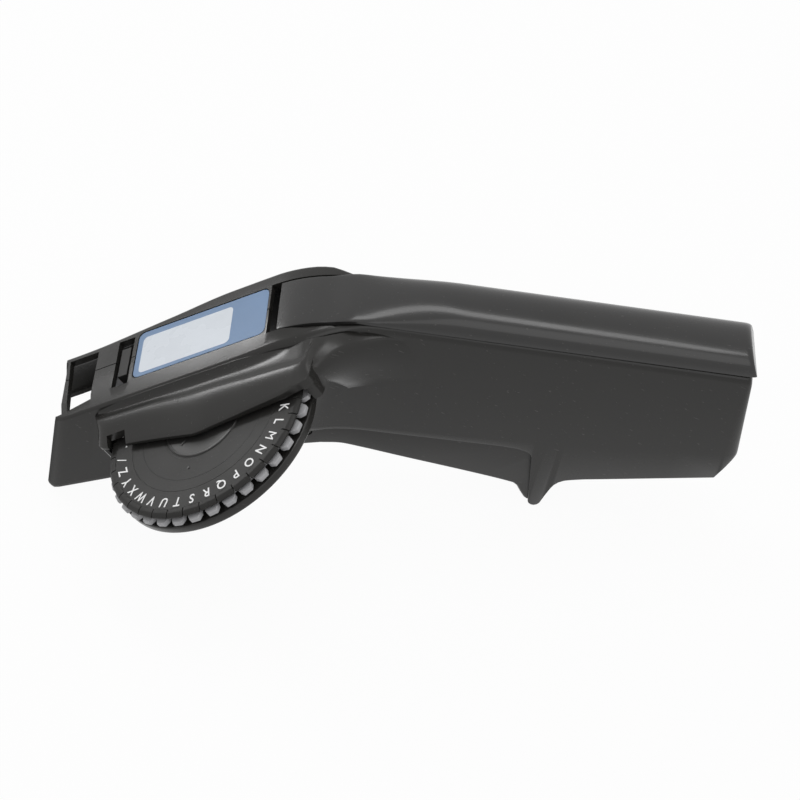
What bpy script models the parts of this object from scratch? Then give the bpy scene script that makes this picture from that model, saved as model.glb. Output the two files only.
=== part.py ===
"""Embossing label maker: a hand-held tool with a bent body, a side wheel of characters,
a squeeze trigger below and a hinged cover over the tape magazine.

The tool is drawn in its own frame: X runs back along the handle, Y to the far side and
Z up. The origin is where the straight handle meets the bend, on the parting plane, at
the level of the gap under the cover. The nose has a frame of its own at the wheel's
centre, turned down by the bend. At the end the tool is stood on its skirt and fin.
"""

import math

import bmesh
import bpy
from mathutils import Matrix, Vector

mm = 0.001

# Driving dimensions of the body
bend_angle = math.radians(37.5)
bend_radius = 38.0 * mm
handle_length = 114.0 * mm
handle_half_width = 9.25 * mm
nose_near_width = 14.5 * mm
nose_far_width = 13.6 * mm
nose_tip_near_width = 13.6 * mm
nose_tip_far_width = 9.4 * mm
side_wall = 1.8 * mm
nose_wall = 1.6 * mm
top_wall = 2.3 * mm
bend_top_wall = 2.6 * mm
parting_gap = 0.3 * mm
clearance = 0.3 * mm
overrun = 3.0 * mm
merge_distance = 0.002 * mm
weld_distance = 0.003 * mm

# Where the wheel sits on the nose, seen from the start of the bend
wheel_to_bend = 25.0 * mm
wheel_below_top = 8.3 * mm
wheel_offset = 26.5 * mm
wheel_to_nose_front = 48.3 * mm

# Side outline of the body
skirt_depth = 31.7 * mm
skirt_corner = 2.2 * mm
skirt_lean = 2.0 * mm
skirt_back = (-7.0 * mm, -47.9 * mm)
skirt_front = (-80.9 * mm, -85.9 * mm)
far_wall_depth = 16.6 * mm
far_wall_end = (-40.0 * mm, -38.2 * mm)
far_wall_foot = (-31.8 * mm, -57.3 * mm)
recess_level = -44.6 * mm
recess_start = (1.8 * mm, -46.0 * mm)
recess_middle = (13.2 * mm, -45.3 * mm)
recess_end = 60.4 * mm
mouth_rise = 11.8 * mm
belly_front = (64.0 * mm, -57.2 * mm)
belly_middle = (76.6 * mm, -55.5 * mm)
rear_lean = 4.4 * mm
crease_lean = 4.2 * mm
belly_rear = (handle_length + 0.3 * mm, -46.1 * mm)
rear_corner = (handle_length + rear_lean, -34.4 * mm)
rear_top = (handle_length, -1.6 * mm)
crease_lines = (
    (-7.0 * mm, -45.6 * mm), (1.4 * mm, -44.0 * mm), (19.0 * mm, -42.4 * mm), (48.6 * mm, -40.8 * mm),
    (61.8 * mm, -39.5 * mm), (84.0 * mm, -38.0 * mm), (handle_length + crease_lean, -33.8 * mm),
)
side_draft = math.radians(2.8)
crease_least = 0.6 * mm

# Edges along the top of the body
nose_edge = 1.2 * mm
bend_edge = 4.2 * mm
handle_edge = 2.6 * mm
far_nose_edge = 1.6 * mm
far_bend_edge = 1.3 * mm
rail_drop = 1.2 * mm
rail_sink = 1.2 * mm

# The fin behind the trigger
fin_lip = ((52.0 * mm, -44.6 * mm), (56.9 * mm, -45.3 * mm), (58.5 * mm, -46.2 * mm), (59.2 * mm, -47.6 * mm))
fin_tip_front = (62.5 * mm, -69.5 * mm)
fin_tip_low = (64.5 * mm, -71.8 * mm)
fin_tip_round = (62.9 * mm, -70.9 * mm)
fin_tip_back = (66.0 * mm, -70.6 * mm)
fin_back = (68.1 * mm, -61.4 * mm)
fin_fillet = ((69.6 * mm, -58.8 * mm), (72.3 * mm, -56.9 * mm))
fin_root = (76.6 * mm, -55.4 * mm)
fin_back_low = (74.0 * mm, -48.0 * mm)

# Character wheel
character_count = 36
letter_radius = wheel_offset
finger_radius = 32.2 * mm
finger_top_radius = 31.2 * mm
finger_root_radius = 29.0 * mm
finger_gap = 0.9 * mm
upper_disc_thickness = 1.2 * mm
tooth_radius = 33.3 * mm
tooth_root_radius = 30.2 * mm
tooth_width = 3.9 * mm
tooth_tip_width = 2.4 * mm
lower_disc_thickness = 1.2 * mm
tape_gap = 0.8 * mm
disc_bore = 4.3 * mm
hub_radius = 12.2 * mm
hub_height = 0.5 * mm
hub_stem = 4.0 * mm
axle_radius = 2.0 * mm
running_gap = 0.3 * mm

# Upper jaw and the guard under the wheel
jaw_underside = 1.3 * mm
jaw_base = 0.7 * mm
jaw_lip = 1.1 * mm
jaw_ridge = 5.3 * mm
jaw_valley = 4.5 * mm
jaw_valley_width = 2.4 * mm
jaw_root = 13.3 * mm
slot_radius = 34.0 * mm
slot_bottom = 4.9 * mm
guard_top = 4.7 * mm
guard_thickness = 3.0 * mm
guard_radius = 32.9 * mm
notch_start = -33.0 * mm
notch_end = -26.2 * mm
notch_depth = 4.4 * mm
housing_bottom = 4.4 * mm

# Windows, name plate and slot in the top of the nose, from the wheel's centre
front_window = (-46.8 * mm, -36.4 * mm)
front_window_sides = (-12.2 * mm, 7.4 * mm)
front_window_near_rear = -10.8 * mm
front_window_near_start = -44.7 * mm
nose_set_back = 2.2 * mm
nose_far_set_back = 0.7 * mm
rear_window = (-29.0 * mm, -23.4 * mm)
rear_window_sides = (-9.6 * mm, 8.2 * mm)
plate_start = -21.8 * mm
plate_length = 45.0 * mm
plate_width = 17.4 * mm
plate_thickness = 0.6 * mm
plate_corner = 2.0 * mm
plate_recess = 0.8 * mm
slot_start = 24.0 * mm
slot_width = 3.3 * mm

# Cover of the tape magazine
cover_step = 0.25 * mm
cover_half_width = handle_half_width - cover_step
cover_skin = 1.6 * mm
cover_rise = 0.4 * mm
cover_rear_rise = 1.0 * mm
cover_rim = 0.8 * mm
cover_crown = 5.7 * mm
cover_front_crown = 0.2 * mm
cover_overhang = 0.4 * mm
cover_rear_slope = 2.4 * mm
cover_rear_round = 2.2 * mm
cover_rear_shrink = 1.2 * mm
crown_start = -8.0 * mm
crown_end = 30.0 * mm
pocket_end = 16.5 * mm
pocket_run_out = 1.5 * mm
opening_half_width = handle_half_width - side_wall - clearance
hinge_run = 5.2 * mm
hinge_depth = 4.2 * mm
hinge_pin_radius = 0.9 * mm
hinge_pin_length = 20.0 * mm
hinge_boss_radius = 2.1 * mm
hinge_boss_reach = 13.0 * mm
hinge_eye_radius = 2.1 * mm
hinge_ear_inside = 4.9 * mm
swing_past_hinge = 1.7 * mm
swing_room = 3.4 * mm
hinge_ear_thickness = 1.7 * mm

# Trigger
trigger_pivot = (-7.9 * mm, -51.6 * mm)
trigger_boss_radius = 3.9 * mm
trigger_front_radius = 7.0 * mm
trigger_inset = 2.35 * mm
trigger_half_width = handle_half_width - trigger_inset
trigger_wall = 1.5 * mm
trigger_pin_radius = 1.5 * mm
lug_gap = 0.2 * mm
lug_thickness = 1.5 * mm
lug_inside = trigger_half_width - trigger_wall - lug_gap - lug_thickness
lug_radius = 2.9 * mm
lug_root = -38.0 * mm
lug_shoulder = -43.6 * mm
lug_half_length = 4.4 * mm
trigger_tip = (62.7 * mm, -70.1 * mm)
trigger_tip_front = (60.9 * mm, -69.1 * mm)
trigger_belly_back = (56.5 * mm, -63.1 * mm)
trigger_belly_middle = (21.2 * mm, -57.8 * mm)
trigger_belly_front = (2.7 * mm, -55.4 * mm)
trigger_belly_start = (-3.2 * mm, -56.4 * mm)
trigger_top_back = -43.4 * mm
trigger_top_front = -46.4 * mm
trigger_top_start = 4.0 * mm
trigger_floor = 1.8 * mm
trigger_slit = 0.6 * mm
mouth_slit = 0.4 * mm
trigger_arc_steps = 5

# Squeeze mechanism, in the frame of the nose
tape_level = -1.6 * mm
anvil_size = (8.0 * mm, 6.0 * mm)
anvil_clear = 0.35 * mm
presser_size = (7.0 * mm, 6.0 * mm)
presser_rest = -4.2 * mm
presser_length = 9.5 * mm
lever_pivot = (-18.0 * mm, -19.0 * mm)
lever_end = (6.5 * mm, -39.2 * mm)
lever_height = 3.2 * mm
lever_width = 5.0 * mm
lever_eye = 3.0 * mm
lever_pin_radius = 1.2 * mm
cutter_place = -26.4 * mm
cutter_width = 10.6 * mm
blade_width = 8.2 * mm
cutter_thickness = 3.2 * mm
cutter_low = 2.4 * mm
cutter_high = 7.6 * mm
blade_thickness = 0.5 * mm
blade_edge = 1.1 * mm
blade_bite = 1.6 * mm
guide_start = -42.5 * mm
guide_end = -27.2 * mm
guide_half_width = 5.4 * mm
guide_plate = 1.0 * mm
guide_wings = (-12.5 * mm, 7.5 * mm)
guide_wing_end = -35.0 * mm
guide_side = 2.4 * mm

# Tape feed at the bend, in the frame of the nose
feed_place = 36.5 * mm
feed_radius = 5.0 * mm
feed_half_length = 4.6 * mm
feed_axle_radius = 1.3 * mm
pressure_radius = 2.5 * mm
pressure_axle_radius = 1.0 * mm
tape_thickness = 0.25 * mm
ratchet_radius = 6.0 * mm
ratchet_root = 5.0 * mm
ratchet_teeth = 16
ratchet_thickness = 1.2 * mm
frame_plate = 0.8 * mm
frame_side_gap = 2.85 * mm
frame_inside = handle_half_width - frame_side_gap
frame_low = -13.0 * mm
frame_high = 2.8 * mm
frame_shoulder = -0.5 * mm
frame_web_top = -3.2 * mm
frame_front = 29.0 * mm
frame_back = 42.2 * mm
frame_top_front = 33.5 * mm
frame_top_back = 38.8 * mm
axle_end = 1.2 * mm

# Feed arm and pawl, in the frame of the handle
arm_thickness = 0.8 * mm
arm_inside = trigger_half_width - trigger_wall - clearance
arm_foot = (8.0 * mm, -50.5 * mm)
arm_width = 5.0 * mm
arm_from_ratchet = (6.3 * mm, -11.1 * mm)
pawl_width = 2.6 * mm
pawl_clear = 1.0 * mm
push_width = 4.6 * mm
push_length = 6.0 * mm

# Return spring and its seat
spring_place = 38.0 * mm
spring_radius = 3.0 * mm
spring_wire = 0.45 * mm
spring_turns = 5
spring_points_per_turn = 8
spring_ceiling = -35.0 * mm
seat_rib = 1.6 * mm
seat_rib_length = 9.0 * mm

# Magazine
cradle_to_rear = 26.0 * mm
cradle_centre = (handle_length - cradle_to_rear, -22.5 * mm)
cradle_radius = 19.4 * mm
cradle_wall = 1.2 * mm
cradle_side_gap = 1.15 * mm
cradle_half_width = handle_half_width - side_wall - cradle_side_gap
cradle_arc = (math.radians(-205), math.radians(25))
cradle_steps = 20
catch_thickness = 0.8 * mm
catch_height = 9.0 * mm
catch_half_width = 3.5 * mm
catch_hook = 1.8 * mm
catch_top = -1.2 * mm

# Screws that hold the halves together
screw_to_rear = 7.0 * mm
screw_to_tip = 6.0 * mm
screw_places = (
    (trigger_tip[0] + screw_to_tip, -39.5 * mm), (handle_length - screw_to_rear, -38.0 * mm),
    (24.0 * mm, -22.0 * mm),
)
boss_radius = 3.0 * mm
screw_radius = 1.1 * mm
screw_hole = 1.4 * mm
screw_head_radius = 2.3 * mm
screw_head_hole = 2.7 * mm
screw_head_height = 1.6 * mm
screw_sink = 2.2 * mm
screw_bite = 5.0 * mm

round_sides = 24
small_sides = 16
wheel_sides = 72


def clear_scene():
    for thing in list(bpy.data.objects):
        bpy.data.objects.remove(thing, do_unlink=True)


def collection(name):
    group = bpy.data.collections.new(name)
    bpy.context.scene.collection.children.link(group)
    return group


def material(name, colour, roughness, metallic=0.0):
    paint = bpy.data.materials.new(name)
    paint.use_nodes = True
    shader = paint.node_tree.nodes["Principled BSDF"]
    shader.inputs["Base Color"].default_value = (*colour, 1.0)
    shader.inputs["Roughness"].default_value = roughness
    shader.inputs["Metallic"].default_value = metallic
    paint.diffuse_color = (*colour, 1.0)
    return paint


clear_scene()
parts = collection("label_maker")
cutters = collection("cutters")

black_plastic = material("black_plastic", (0.045, 0.043, 0.040), 0.45)
gloss_black = material("gloss_black", (0.040, 0.040, 0.039), 0.22)
disc_black = material("disc_black", (0.035, 0.034, 0.033), 0.4)
grey_plastic = material("grey_plastic", (0.42, 0.42, 0.43), 0.4)
white_plastic = material("white_plastic", (0.62, 0.62, 0.60), 0.45)
plate_blue = material("plate_blue", (0.12, 0.20, 0.36), 0.3)
steel = material("steel", (0.55, 0.55, 0.54), 0.3, 1.0)
blade_steel = material("blade_steel", (0.68, 0.68, 0.68), 0.2, 1.0)
rubber = material("rubber", (0.05, 0.05, 0.05), 0.8)


def empty(name, parent=None, place=(0, 0, 0), turn=(0, 0, 0)):
    frame = bpy.data.objects.new(name, None)
    bpy.context.scene.collection.objects.link(frame)
    frame.parent = parent
    frame.location = place
    frame.rotation_euler = turn
    return frame


def closed(bm, name):
    """Make the mesh of a bmesh, with its doubles merged and its faces pointing out."""
    bmesh.ops.remove_doubles(bm, verts=bm.verts, dist=merge_distance)
    bmesh.ops.recalc_face_normals(bm, faces=bm.faces)
    mesh = bpy.data.meshes.new(name)
    bm.to_mesh(mesh)
    bm.free()
    return mesh


def place_part(name, mesh, paint, parent, place=(0, 0, 0)):
    piece = bpy.data.objects.new(name, mesh)
    parts.objects.link(piece)
    piece.parent = parent
    piece.location = place
    mesh.materials.clear()
    mesh.materials.append(paint)
    return piece


def place_cutter(name, mesh, parent, place=(0, 0, 0)):
    tool = bpy.data.objects.new(name, mesh)
    cutters.objects.link(tool)
    tool.parent = parent
    tool.location = place
    tool.hide_render = True
    tool.display_type = "WIRE"
    return tool


def combine(piece, tool, operation="DIFFERENCE"):
    step = piece.modifiers.new(f"{operation.lower()} {tool.name}", "BOOLEAN")
    step.operation = operation
    step.solver = "EXACT"
    step.object = tool
    weld = piece.modifiers.new(f"weld {tool.name}", "WELD")
    weld.merge_threshold = weld_distance


def box(low, high):
    """A box between two corners."""
    bm = bmesh.new()
    size = [b - a for a, b in zip(low, high)]
    middle = [(a + b) / 2 for a, b in zip(low, high)]
    matrix = Matrix.Translation(middle) @ Matrix.Diagonal((*size, 1))
    bmesh.ops.create_cube(bm, size=1, matrix=matrix)
    return closed(bm, "box")


def cylinder(radius, low, high, axis="Y", centre=(0, 0), sides=round_sides, end_radius=None):
    """A round bar along an axis, from low to high; centre holds the two other places."""
    bm = bmesh.new()
    turns = {"X": Matrix.Rotation(math.pi / 2, 4, "Y"),
             "Y": Matrix.Rotation(-math.pi / 2, 4, "X"),
             "Z": Matrix.Identity(4)}
    middle = (low + high) / 2
    spots = {"X": (middle, *centre), "Y": (centre[0], middle, centre[1]), "Z": (*centre, middle)}
    other = radius if end_radius is None else end_radius
    bmesh.ops.create_cone(bm, cap_ends=True, segments=sides, radius1=radius, radius2=other,
                          depth=high - low, matrix=Matrix.Translation(spots[axis]) @ turns[axis])
    return closed(bm, "cylinder")


def plate(outline, low, high, plane="XZ", holes=()):
    """A flat outline made solid between two levels of the axis across it."""
    curve = bpy.data.curves.new("outline", "CURVE")
    curve.dimensions = "2D"
    curve.fill_mode = "BOTH"
    curve.extrude = (high - low) / 2
    for loop in (outline, *holes):
        spline = curve.splines.new("POLY")
        spline.points.add(len(loop) - 1)
        for point, (across, up) in zip(spline.points, loop):
            point.co = (across, up, 0, 1)
        spline.use_cyclic_u = True
    sketch = bpy.data.objects.new("outline", curve)
    bpy.context.scene.collection.objects.link(sketch)
    graph = bpy.context.evaluated_depsgraph_get()
    mesh = bpy.data.meshes.new_from_object(sketch.evaluated_get(graph))
    bpy.data.objects.remove(sketch, do_unlink=True)
    middle = (low + high) / 2
    if plane == "XZ":
        mesh.transform(Matrix.Translation((0, middle, 0)) @ Matrix.Rotation(math.pi / 2, 4, "X"))
    else:
        mesh.transform(Matrix.Translation((0, 0, middle)))
    bm = bmesh.new()
    bm.from_mesh(mesh)
    return closed(bm, "plate")


def loft(rings):
    """A closed skin over rings of points, with the first and the last ring filled."""
    bm = bmesh.new()
    rows = [[bm.verts.new(point) for point in ring] for ring in rings]
    count = len(rings[0])
    for here, there in zip(rows, rows[1:]):
        for i in range(count):
            after = (i + 1) % count
            bm.faces.new((here[i], here[after], there[after], there[i]))
    bm.faces.new(list(reversed(rows[0])))
    bm.faces.new(rows[-1])
    bmesh.ops.remove_doubles(bm, verts=bm.verts, dist=merge_distance)
    bmesh.ops.triangulate(bm, faces=bm.faces)
    return closed(bm, "loft")


def turned(profile, sides=round_sides):
    """A solid of revolution about Z from (radius, height) points, top to bottom."""
    bm = bmesh.new()
    points = [bm.verts.new((radius, 0, height)) for radius, height in profile]
    for here, there in zip(points, points[1:]):
        bm.edges.new((here, there))
    mesh = bpy.data.meshes.new("profile")
    bm.to_mesh(mesh)
    bm.free()
    lathe = bpy.data.objects.new("profile", mesh)
    bpy.context.scene.collection.objects.link(lathe)
    spin = lathe.modifiers.new("spin", "SCREW")
    spin.steps = sides
    spin.render_steps = sides
    spin.use_merge_vertices = True
    spin.merge_threshold = merge_distance
    graph = bpy.context.evaluated_depsgraph_get()
    result = bpy.data.meshes.new_from_object(lathe.evaluated_get(graph))
    bpy.data.objects.remove(lathe, do_unlink=True)
    bm = bmesh.new()
    bm.from_mesh(result)
    return closed(bm, "turned")


def tube(points, radius, resolution=2):
    """A round wire through points, with filled caps."""
    curve = bpy.data.curves.new("wire", "CURVE")
    curve.dimensions = "3D"
    curve.bevel_depth = radius
    curve.bevel_resolution = resolution
    curve.use_fill_caps = True
    spline = curve.splines.new("POLY")
    spline.points.add(len(points) - 1)
    for spot, point in zip(spline.points, points):
        spot.co = (*point, 1)
    wire = bpy.data.objects.new("wire", curve)
    bpy.context.scene.collection.objects.link(wire)
    graph = bpy.context.evaluated_depsgraph_get()
    mesh = bpy.data.meshes.new_from_object(wire.evaluated_get(graph))
    bpy.data.objects.remove(wire, do_unlink=True)
    bm = bmesh.new()
    bm.from_mesh(mesh)
    return closed(bm, "wire")


def shade(piece, angle=math.radians(35)):
    piece.data.shade_smooth()
    piece.data.set_sharp_from_angle(angle=angle)


def blend(start, end, share):
    return start + (end - start) * share


def ease(share):
    """A smooth step from 0 to 1."""
    share = min(max(share, 0.0), 1.0)
    return share * share * (3 - 2 * share)


def along(table, place):
    """Read a value between the rows of a table of (place, value)."""
    if place <= table[0][0]:
        return table[0][1]
    for (here, low), (there, high) in zip(table, table[1:]):
        if place <= there:
            return blend(low, high, (place - here) / (there - here))
    return table[-1][1]


# Frames
nose_along = Vector((math.cos(bend_angle), 0, math.sin(bend_angle)))
nose_up = Vector((-math.sin(bend_angle), 0, math.cos(bend_angle)))
bend_centre = Vector((0, 0, -bend_radius))
bend_start = bend_centre + bend_radius * nose_up
wheel_centre = bend_start - wheel_to_bend * nose_along - wheel_below_top * nose_up
bend_run = bend_radius * bend_angle

tool = empty("tool")
nose = empty("nose", tool, wheel_centre, (0, -bend_angle, 0))
wheel_axis = empty("wheel_axis", nose, (0, -wheel_offset, 0))


def to_nose(x, z):
    """A place of the handle's frame in the frame of the nose."""
    offset = Vector((x, 0, z)) - wheel_centre
    return offset.dot(nose_along), offset.dot(nose_up)


def to_handle(along_nose, up_nose):
    """A place of the nose's frame in the frame of the handle."""
    spot = wheel_centre + along_nose * nose_along + up_nose * nose_up
    return spot.x, spot.z


def top_line(run):
    """Point and upward normal of the top line, at a run from the start of the bend."""
    if run <= 0:
        return bend_start + run * nose_along, nose_up
    if run < bend_run:
        angle = bend_angle - run / bend_radius
        normal = Vector((-math.sin(angle), 0, math.cos(angle)))
        return bend_centre + bend_radius * normal, normal
    return Vector((run - bend_run, 0, 0)), Vector((0, 0, 1))


nose_front_run = -(wheel_to_nose_front + wheel_to_bend)
nose_front = top_line(nose_front_run)[0]

# Widths and edges along the top line, as shares of the nose and the bend
near_widths = (
    (nose_front_run, nose_tip_near_width),
    (0.93 * nose_front_run, nose_near_width),
    (0.45 * bend_run, nose_near_width),
    (0.66 * bend_run, blend(handle_half_width, nose_near_width, 0.78)),
    (0.83 * bend_run, blend(handle_half_width, nose_near_width, 0.45)),
    (bend_run, blend(handle_half_width, nose_near_width, 0.17)),
    (bend_run + 0.25 * bend_run, blend(handle_half_width, nose_near_width, 0.04)),
    (bend_run + 0.6 * bend_run, handle_half_width),
)
far_widths = (
    (nose_front_run, nose_tip_far_width),
    (0.5 * nose_front_run, blend(nose_tip_far_width, nose_far_width, 0.6)),
    (0.2 * nose_front_run, nose_far_width),
    (0.45 * bend_run, nose_far_width),
    (0.68 * bend_run, blend(handle_half_width, nose_far_width, 0.9)),
    (0.84 * bend_run, blend(handle_half_width, nose_far_width, 0.6)),
    (bend_run, blend(handle_half_width, nose_far_width, 0.32)),
    (bend_run + 0.25 * bend_run, blend(handle_half_width, nose_far_width, 0.08)),
    (bend_run + 0.6 * bend_run, handle_half_width),
)
near_edges = (
    (0.3 * nose_front_run, nose_edge),
    (0.3 * bend_run, blend(nose_edge, bend_edge, 0.5)),
    (0.6 * bend_run, bend_edge),
    (0.85 * bend_run, blend(handle_edge, bend_edge, 0.6)),
    (bend_run, handle_edge),
)
far_edges = (
    (nose_front_run, nose_edge),
    (0.8 * nose_front_run, far_nose_edge),
    (0, far_bend_edge),
    (0.7 * bend_run, far_bend_edge),
    (1.25 * bend_run, handle_edge),
)
near_sinks = (
    (0.1 * bend_run, 0),
    (0.45 * bend_run, rail_sink),
    (0.85 * bend_run, rail_sink),
    (1.2 * bend_run, 0),
)
near_drops = (
    (0.3 * bend_run, rail_drop),
    (0.8 * bend_run, 0),
)
top_walls = (
    (0, top_wall),
    (0.1 * bend_run, bend_top_wall),
    (0.9 * bend_run, bend_top_wall),
    (1.1 * bend_run, top_wall),
)


def skirt_point(share):
    return (blend(skirt_front[0], skirt_back[0], share), blend(skirt_front[1], skirt_back[1], share))


def body_columns(near):
    """Top and bottom points of the body's side, from the nose to the rear."""
    columns = []
    front = nose_front
    if near:
        columns.append((nose_front_run, (skirt_front[0] - skirt_lean, skirt_front[1] + skirt_corner)))
        first_run = nose_front_run + skirt_corner
        for share in (0, 0.12, 0.28, 0.45, 0.6, 0.72, 0.78, 0.84, 0.9, 0.95, 1):
            columns.append((blend(first_run, bend_run, share), skirt_point(share)))
    else:
        wall_end_run = blend(nose_front_run, 0, 0.6)
        columns.append((nose_front_run, (front.x, front.z - far_wall_depth)))
        columns.append((wall_end_run, far_wall_end))
        columns.append((wall_end_run - 0.12 * nose_front_run, far_wall_foot))
        foot_share = (far_wall_foot[0] - skirt_front[0]) / (skirt_back[0] - skirt_front[0])
        first_run = wall_end_run - 0.3 * nose_front_run
        for share in (0.2, 0.4, 0.55, 0.7, 0.85, 1):
            columns.append((blend(first_run, bend_run, share), skirt_point(blend(foot_share, 1, share))))
    recess_run = bend_run + recess_end
    columns.append((bend_run + 0.25 * bend_run, recess_start))
    columns.append((bend_run + 0.6 * bend_run, recess_middle))
    columns.append((recess_run, (recess_end, recess_level)))
    columns.append((bend_run + belly_front[0], belly_front))
    columns.append((bend_run + belly_middle[0], belly_middle))
    columns.append((bend_run + belly_rear[0] - skirt_corner, belly_rear))
    columns.append((None, rear_corner))
    return columns


def body_ring(top, bottom, width, edge, sink, drop, crease, taper, side, inner):
    """One section of a half body: down its outer side and back along the parting plane."""
    down = (bottom - top).normalized()
    depth = (bottom - top).length
    rail = min(cover_half_width + clearance, width - edge - clearance)
    sketch = [(sink, inner), (sink, rail)]
    for angle in (90, 60, 30, 0):
        turn = math.radians(angle)
        low = max(sink, drop) + edge * (1 - math.sin(turn))
        sketch.append((low, width - edge + edge * math.cos(turn)))
    sketch.append((depth - crease, width))
    sketch.append((depth, width - taper))
    sketch.append((depth, inner))
    return [top + down * low + Vector((0, side * out, 0)) for low, out in sketch]


def body_half(side, inset=0, front_run=None, reach=0):
    """The solid outer form of a half body, or with an inset the hollow inside it."""
    near = side < 0
    widths = near_widths if near else far_widths
    edges = near_edges if near else far_edges
    inner = -overrun if inset else -overrun / 2
    rings = []
    for run, low in body_columns(near):
        bottom = Vector((low[0], 0, low[1]))
        if run is None:
            top = Vector((rear_top[0], 0, rear_top[1]))
            run = bend_run + handle_length
        else:
            top = top_line(run)[0]
        wall = 0
        if inset:
            wall = nose_wall if run < bend_run / 2 else side_wall
            if rings == []:
                top = top - nose_along * reach
                bottom = bottom - nose_along * reach
            down = (bottom - top).normalized()
            top = top + down * along(top_walls, run)
            bottom = bottom - down * side_wall
            if recess_end <= run - bend_run < belly_middle[0]:
                top.x += side_wall
                bottom.x += side_wall
            if run > bend_run + belly_middle[0]:
                share = (run - bend_run - belly_middle[0]) / (handle_length - belly_middle[0])
                top.x -= side_wall * min(share, 1)
                bottom.x -= side_wall * min(share, 1)
        crease = nose_wall
        taper = 0
        if run > bend_run:
            crease = max(along(crease_lines, bottom.x) - bottom.z, crease_least)
            taper = crease * math.tan(side_draft)
        rings.append(body_ring(top, bottom, along(widths, run) - wall,
                               min(along(edges, run), along(widths, run) / 3),
                               along(near_sinks, run) if near and not inset else 0,
                               along(near_drops, run) if near and not inset else 0,
                               crease, taper, side, inner))
    return loft(rings)


def pivot_arc(slit, start, end):
    """Places on an arc about the trigger's pivot, outside its tip by a slit."""
    radius = (Vector(trigger_tip) - Vector(trigger_pivot)).length + slit
    arc = []
    for step in range(trigger_arc_steps + 1):
        level = blend(start, end, step / trigger_arc_steps)
        rise = level - trigger_pivot[1]
        arc.append((trigger_pivot[0] + math.sqrt(radius ** 2 - rise ** 2), level))
    return arc


def fin(side):
    """The fin behind the trigger: a blade whose front edge closes over the trigger's end."""
    top_front = (fin_lip[0][0], recess_level + overrun)
    outline = [top_front, *fin_lip, fin_tip_front, fin_tip_round, fin_tip_low, fin_tip_back, fin_back,
               *fin_fillet, fin_root, fin_back_low]
    root_crease = along(crease_lines, belly_front[0]) - belly_front[1]
    outside = handle_half_width - root_crease * math.tan(side_draft) - clearance / 3
    low, high = sorted((-side * overrun / 3, side * outside))
    return plate(outline, low, high)


def cover_ring(run, slope=0, inset=0, shrink=0):
    """One section of the cover: flush and flat at the front, crowned over the handle."""
    point, up = top_line(run)
    handle_place = run - bend_run
    into_handle = ease((run - pocket_end) / (bend_run + pocket_run_out - pocket_end))
    width = blend(cover_half_width, handle_half_width, into_handle) - inset
    rise = blend(cover_rise, cover_rear_rise, max(handle_place, 0) / handle_length)
    low = blend(-cover_skin, rise, into_handle)
    rim = blend(cover_skin - cover_front_crown, cover_rim, into_handle)
    crown = blend(cover_front_crown, cover_crown, ease((handle_place - crown_start) / (crown_end - crown_start)))
    crown -= shrink
    width -= shrink / 2
    if inset:
        crown = max(crown - inset, 0) + 0.1 * inset
    sketch = [(-width, low)]
    for step in range(13):
        turn = math.pi * (1 - step / 12)
        out = math.copysign(abs(math.cos(turn)) ** 0.9, math.cos(turn))
        sketch.append((width * out, low + rim + crown * math.sin(turn) ** 0.9))
    sketch.append((width, low))
    if inset:
        sketch[0] = (-width, low - overrun)
        sketch[-1] = (width, low - overrun)
    total = rim + crown
    ring = []
    for across, height in sketch:
        back = slope * (1 - (height - low) / total)
        ring.append(point + up * height + Vector((back, across, 0)))
    return ring


# Where the cover has its sections, as shares of the bend
front_shares = (0.3, 0.5, 0.68, 0.78, 0.88, 0.98)
rear_shares = (1.06, 1.2, 1.38, 1.6, 1.85, 2.15, 2.5, 3.6)


def finger_ring(tip, root, gap, height):
    """The outline of the upper disc: fingers with a slot between each two."""
    ring = []
    pitch = 2 * math.pi / character_count
    for index in range(character_count):
        middle = index * pitch
        slot = gap / 2 / root
        tip_slot = gap / 2 / tip
        for radius, angle in ((root, -pitch / 2 + slot), (tip, -pitch / 2 + tip_slot * 1.3),
                              (tip, pitch / 2 - tip_slot * 1.3), (root, pitch / 2 - slot)):
            ring.append(Vector((radius * math.cos(middle + angle), radius * math.sin(middle + angle), height)))
    return ring


def tooth_outline():
    """The outline of the lower disc: teeth that narrow to their tips."""
    outline = []
    pitch = 2 * math.pi / character_count
    for index in range(character_count):
        middle = index * pitch
        shoulder = blend(tooth_root_radius, tooth_radius, 0.55)
        for radius, half in ((tooth_root_radius, -tooth_width / 2), (shoulder, -tooth_width / 2),
                             (tooth_radius, -tooth_tip_width / 2), (tooth_radius, tooth_tip_width / 2),
                             (shoulder, tooth_width / 2), (tooth_root_radius, tooth_width / 2)):
            turn = middle + half / radius
            outline.append((radius * math.cos(turn), radius * math.sin(turn)))
    return outline


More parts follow.
